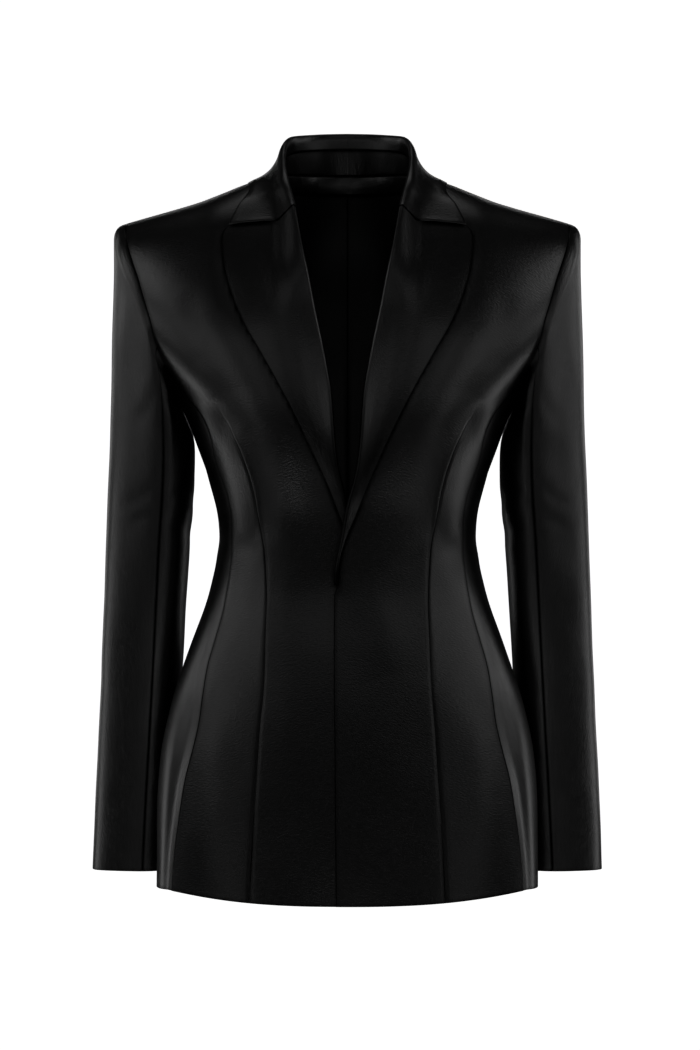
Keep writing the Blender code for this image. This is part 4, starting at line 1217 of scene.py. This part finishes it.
def makeSleeve(side, part):
    look = {**sleeve, **sleeve[part]}
    start, end = np.radians(look["arc"])
    trim = seamMeet / sleeve["radius"]
    shares = runShares(sleeve["columnRadius"] * (end - start), cloth["gap"])
    angles = start + trim + (end - start - 2 * trim) * shares
    place = placesAlong(np.hypot(np.diff(sleeveRings["outerX"]), np.diff(sleeveRings["outerZ"])))
    outer, leave, loopNormal = sleeveGrid(angles, place)
    blend = np.radians(sleeve["blend"])
    across = sleeveGrid(angles + blend, place)[0] - sleeveGrid(angles - blend, place)[0]
    normals = unit(np.cross(across, np.gradient(outer, axis=0)))
    atArmhole = (1 - ease(place, 0, 0.5))[:, None, None]
    base = outer - mix(normals, loopNormal, atArmhole) * half + leave * cloth["ridgeGap"] * atArmhole
    down = base[..., 2]
    around = np.broadcast_to(angles, down.shape) * sleeve["aroundMm"]
    seed = look["seed"] + (side > 0)
    fromFront, fromBack = walked(base, 1)
    fromTop, fromCuff = walked(base, 0)
    relief = clothRelief(look, around, down, seed)
    relief += seamPucker("sleeve", fromFront, fromTop, seed + 20)
    relief += seamPucker("sleeve", fromBack, fromTop, seed + 30)
    relief += seamPucker("cuff", fromCuff, around / 1.2, seed + 40)
    hangPanel("sleeve_" + part, look, base, normals, relief, side, ["front", "back"])


for side in (1, -1):
    makeFront(side)
    makeBack(side)
    makeSide(side)
    makeLapel(side)
    makeLining(side)
    makeSleeve(side, "top")
    makeSleeve(side, "under")
    print("cut and hung the", "left" if side > 0 else "right", "side")
makeCollar()
makeStand()
makeFacing()
print("collar, stand and neck facing made")


studio = {
    "floorHeight": -1.45,  # where the wearer would stand
    "sweepRadius": 7.6,  # where the floor begins to curve up into the backdrop
    "curve": 1.6,
    "wallHeight": 5.5,
    "white": 1.05,
    "aim": -0.25,  # the lamps' middle
    "air": 0.01,  # light from all round
    "contrast": 0.86,  # below 1 deepens the dark tones
}


# Floor and backdrop in one bowl: floor, quarter circle and wall, spun round Z
def makeStudio():
    bend = np.linspace(0, np.pi / 2, 16)
    radius = joined((0.01, 3, 5.5), studio["sweepRadius"] + studio["curve"] * np.sin(bend), (9.2,))
    height = joined((0, 0, 0), studio["curve"] * (1 - np.cos(bend)), (studio["wallHeight"],))
    turn = np.linspace(0, 2 * np.pi, 97)[:-1]
    points = np.stack((np.outer(radius, np.cos(turn)), np.outer(radius, np.sin(turn)),
                       height[:, None] + studio["floorHeight"] + 0 * turn), axis=-1)
    index = np.arange(radius.size * turn.size).reshape(radius.size, turn.size)
    faces = gridFaces(np.append(index, index[:, :1], axis=1))
    mesh = bpy.data.meshes.new("studio_floor")
    mesh.from_pydata(points.reshape(-1, 3).tolist(), [], faces.tolist() + [index[0].tolist()])
    mesh.shade_smooth()
    pale = bpy.data.materials.new("pale_floor")
    pale.use_nodes = True
    shader = pale.node_tree.nodes["Principled BSDF"]
    shader.inputs["Base Color"].default_value = (0.8, 0.8, 0.8, 1)
    shader.inputs["Roughness"].default_value = 0.9
    shader.inputs["Emission Color"].default_value = (1, 1, 1, 1)
    shader.inputs["Emission Strength"].default_value = studio["white"]
    mesh.materials.append(pale)
    floor = putInScene("studio_floor", mesh)
    floor.visible_diffuse = floor.visible_glossy = floor.visible_shadow = False


# Soft boxes turned towards the garment, each on both sides unless it stands in the middle
softBoxes = {
    "azimuth": (66, 112, 46, 73, 95, 106, 34, 95, 22, 22, 0, 0, 0, 180, 180, 145),
    "height": (0.55, 0.3, -0.2, -0.2, 0.1, -0.7, -0.85, -1.35, -1.35, 0.05, -1.35, 0.1, 1.1, 1.25, 0.5,
               -0.2),
    "distance": (1.3, 1.3, 1.3, 1.3, 1.3, 1.3, 1.3, 1.3, 1.3, 1.3, 1.3, 1.3, 1.3, 0.3, 2.4, 1.6),
    "width": (0.5, 0.6, 0.45, 0.4, 0.3, 0.5, 0.3, 0.35, 0.3, 0.3, 0.3, 0.3, 0.5, 0.9, 1.2, 0.5),
    "tall": (0.7, 1.0, 0.5, 0.5, 0.4, 0.8, 0.3, 0.4, 0.4, 0.5, 0.4, 0.4, 0.4, 0.5, 0.9, 1.0),
    "power": (2.3, 1.9, 0.75, 0.8, 1.0, 2.2, 0.2, 2.8, 0.7, 0.4, 1.4, 0.25, 0.8, 1.6, 5.0, 1.3),
}


def makeLights():
    boxes = [(side * azimuth, *box) for azimuth, *box in zip(*softBoxes.values())
             for side in ((-1, 1) if azimuth % 180 else (1,))]
    for number, (azimuth, height, distance, width, tall, power) in enumerate(boxes):
        light = bpy.data.lights.new("soft_box_%d" % number, "AREA")
        light.shape = "RECTANGLE"
        light.size = width
        light.size_y = tall
        light.energy = power
        lamp = putInScene("soft_box_%d" % number, light)
        turn = np.radians(azimuth)
        lamp.location = (np.sin(turn) * distance, -np.cos(turn) * distance, height)
        aim = Vector((0, 0, studio["aim"]))
        lamp.rotation_euler = (aim - lamp.location).to_track_quat("-Z", "Y").to_euler()
        lamp.visible_camera = False


def makeWorld():
    world = bpy.data.worlds.new("studio_air")
    bpy.context.scene.world = world
    world.use_nodes = True
    air = world.node_tree.nodes["Background"]
    air.inputs["Color"].default_value = (1, 1, 1, 1)
    air.inputs["Strength"].default_value = studio["air"]


# Level, four metres in front of the garment's middle
def makeCamera():
    camera = putInScene("camera", bpy.data.cameras.new("camera"))
    camera.location = (0.0024, -4.0, -0.33)
    camera.rotation_euler = (np.pi / 2, 0, 0)
    camera.data.lens = 144.4
    camera.data.sensor_width = 36
    camera.data.clip_end = 60
    bpy.context.scene.camera = camera


makeStudio()
makeLights()
makeWorld()
makeCamera()
bpy.context.scene.view_settings.view_transform = "Standard"
bpy.context.scene.view_settings.gamma = studio["contrast"]
print("studio lit")
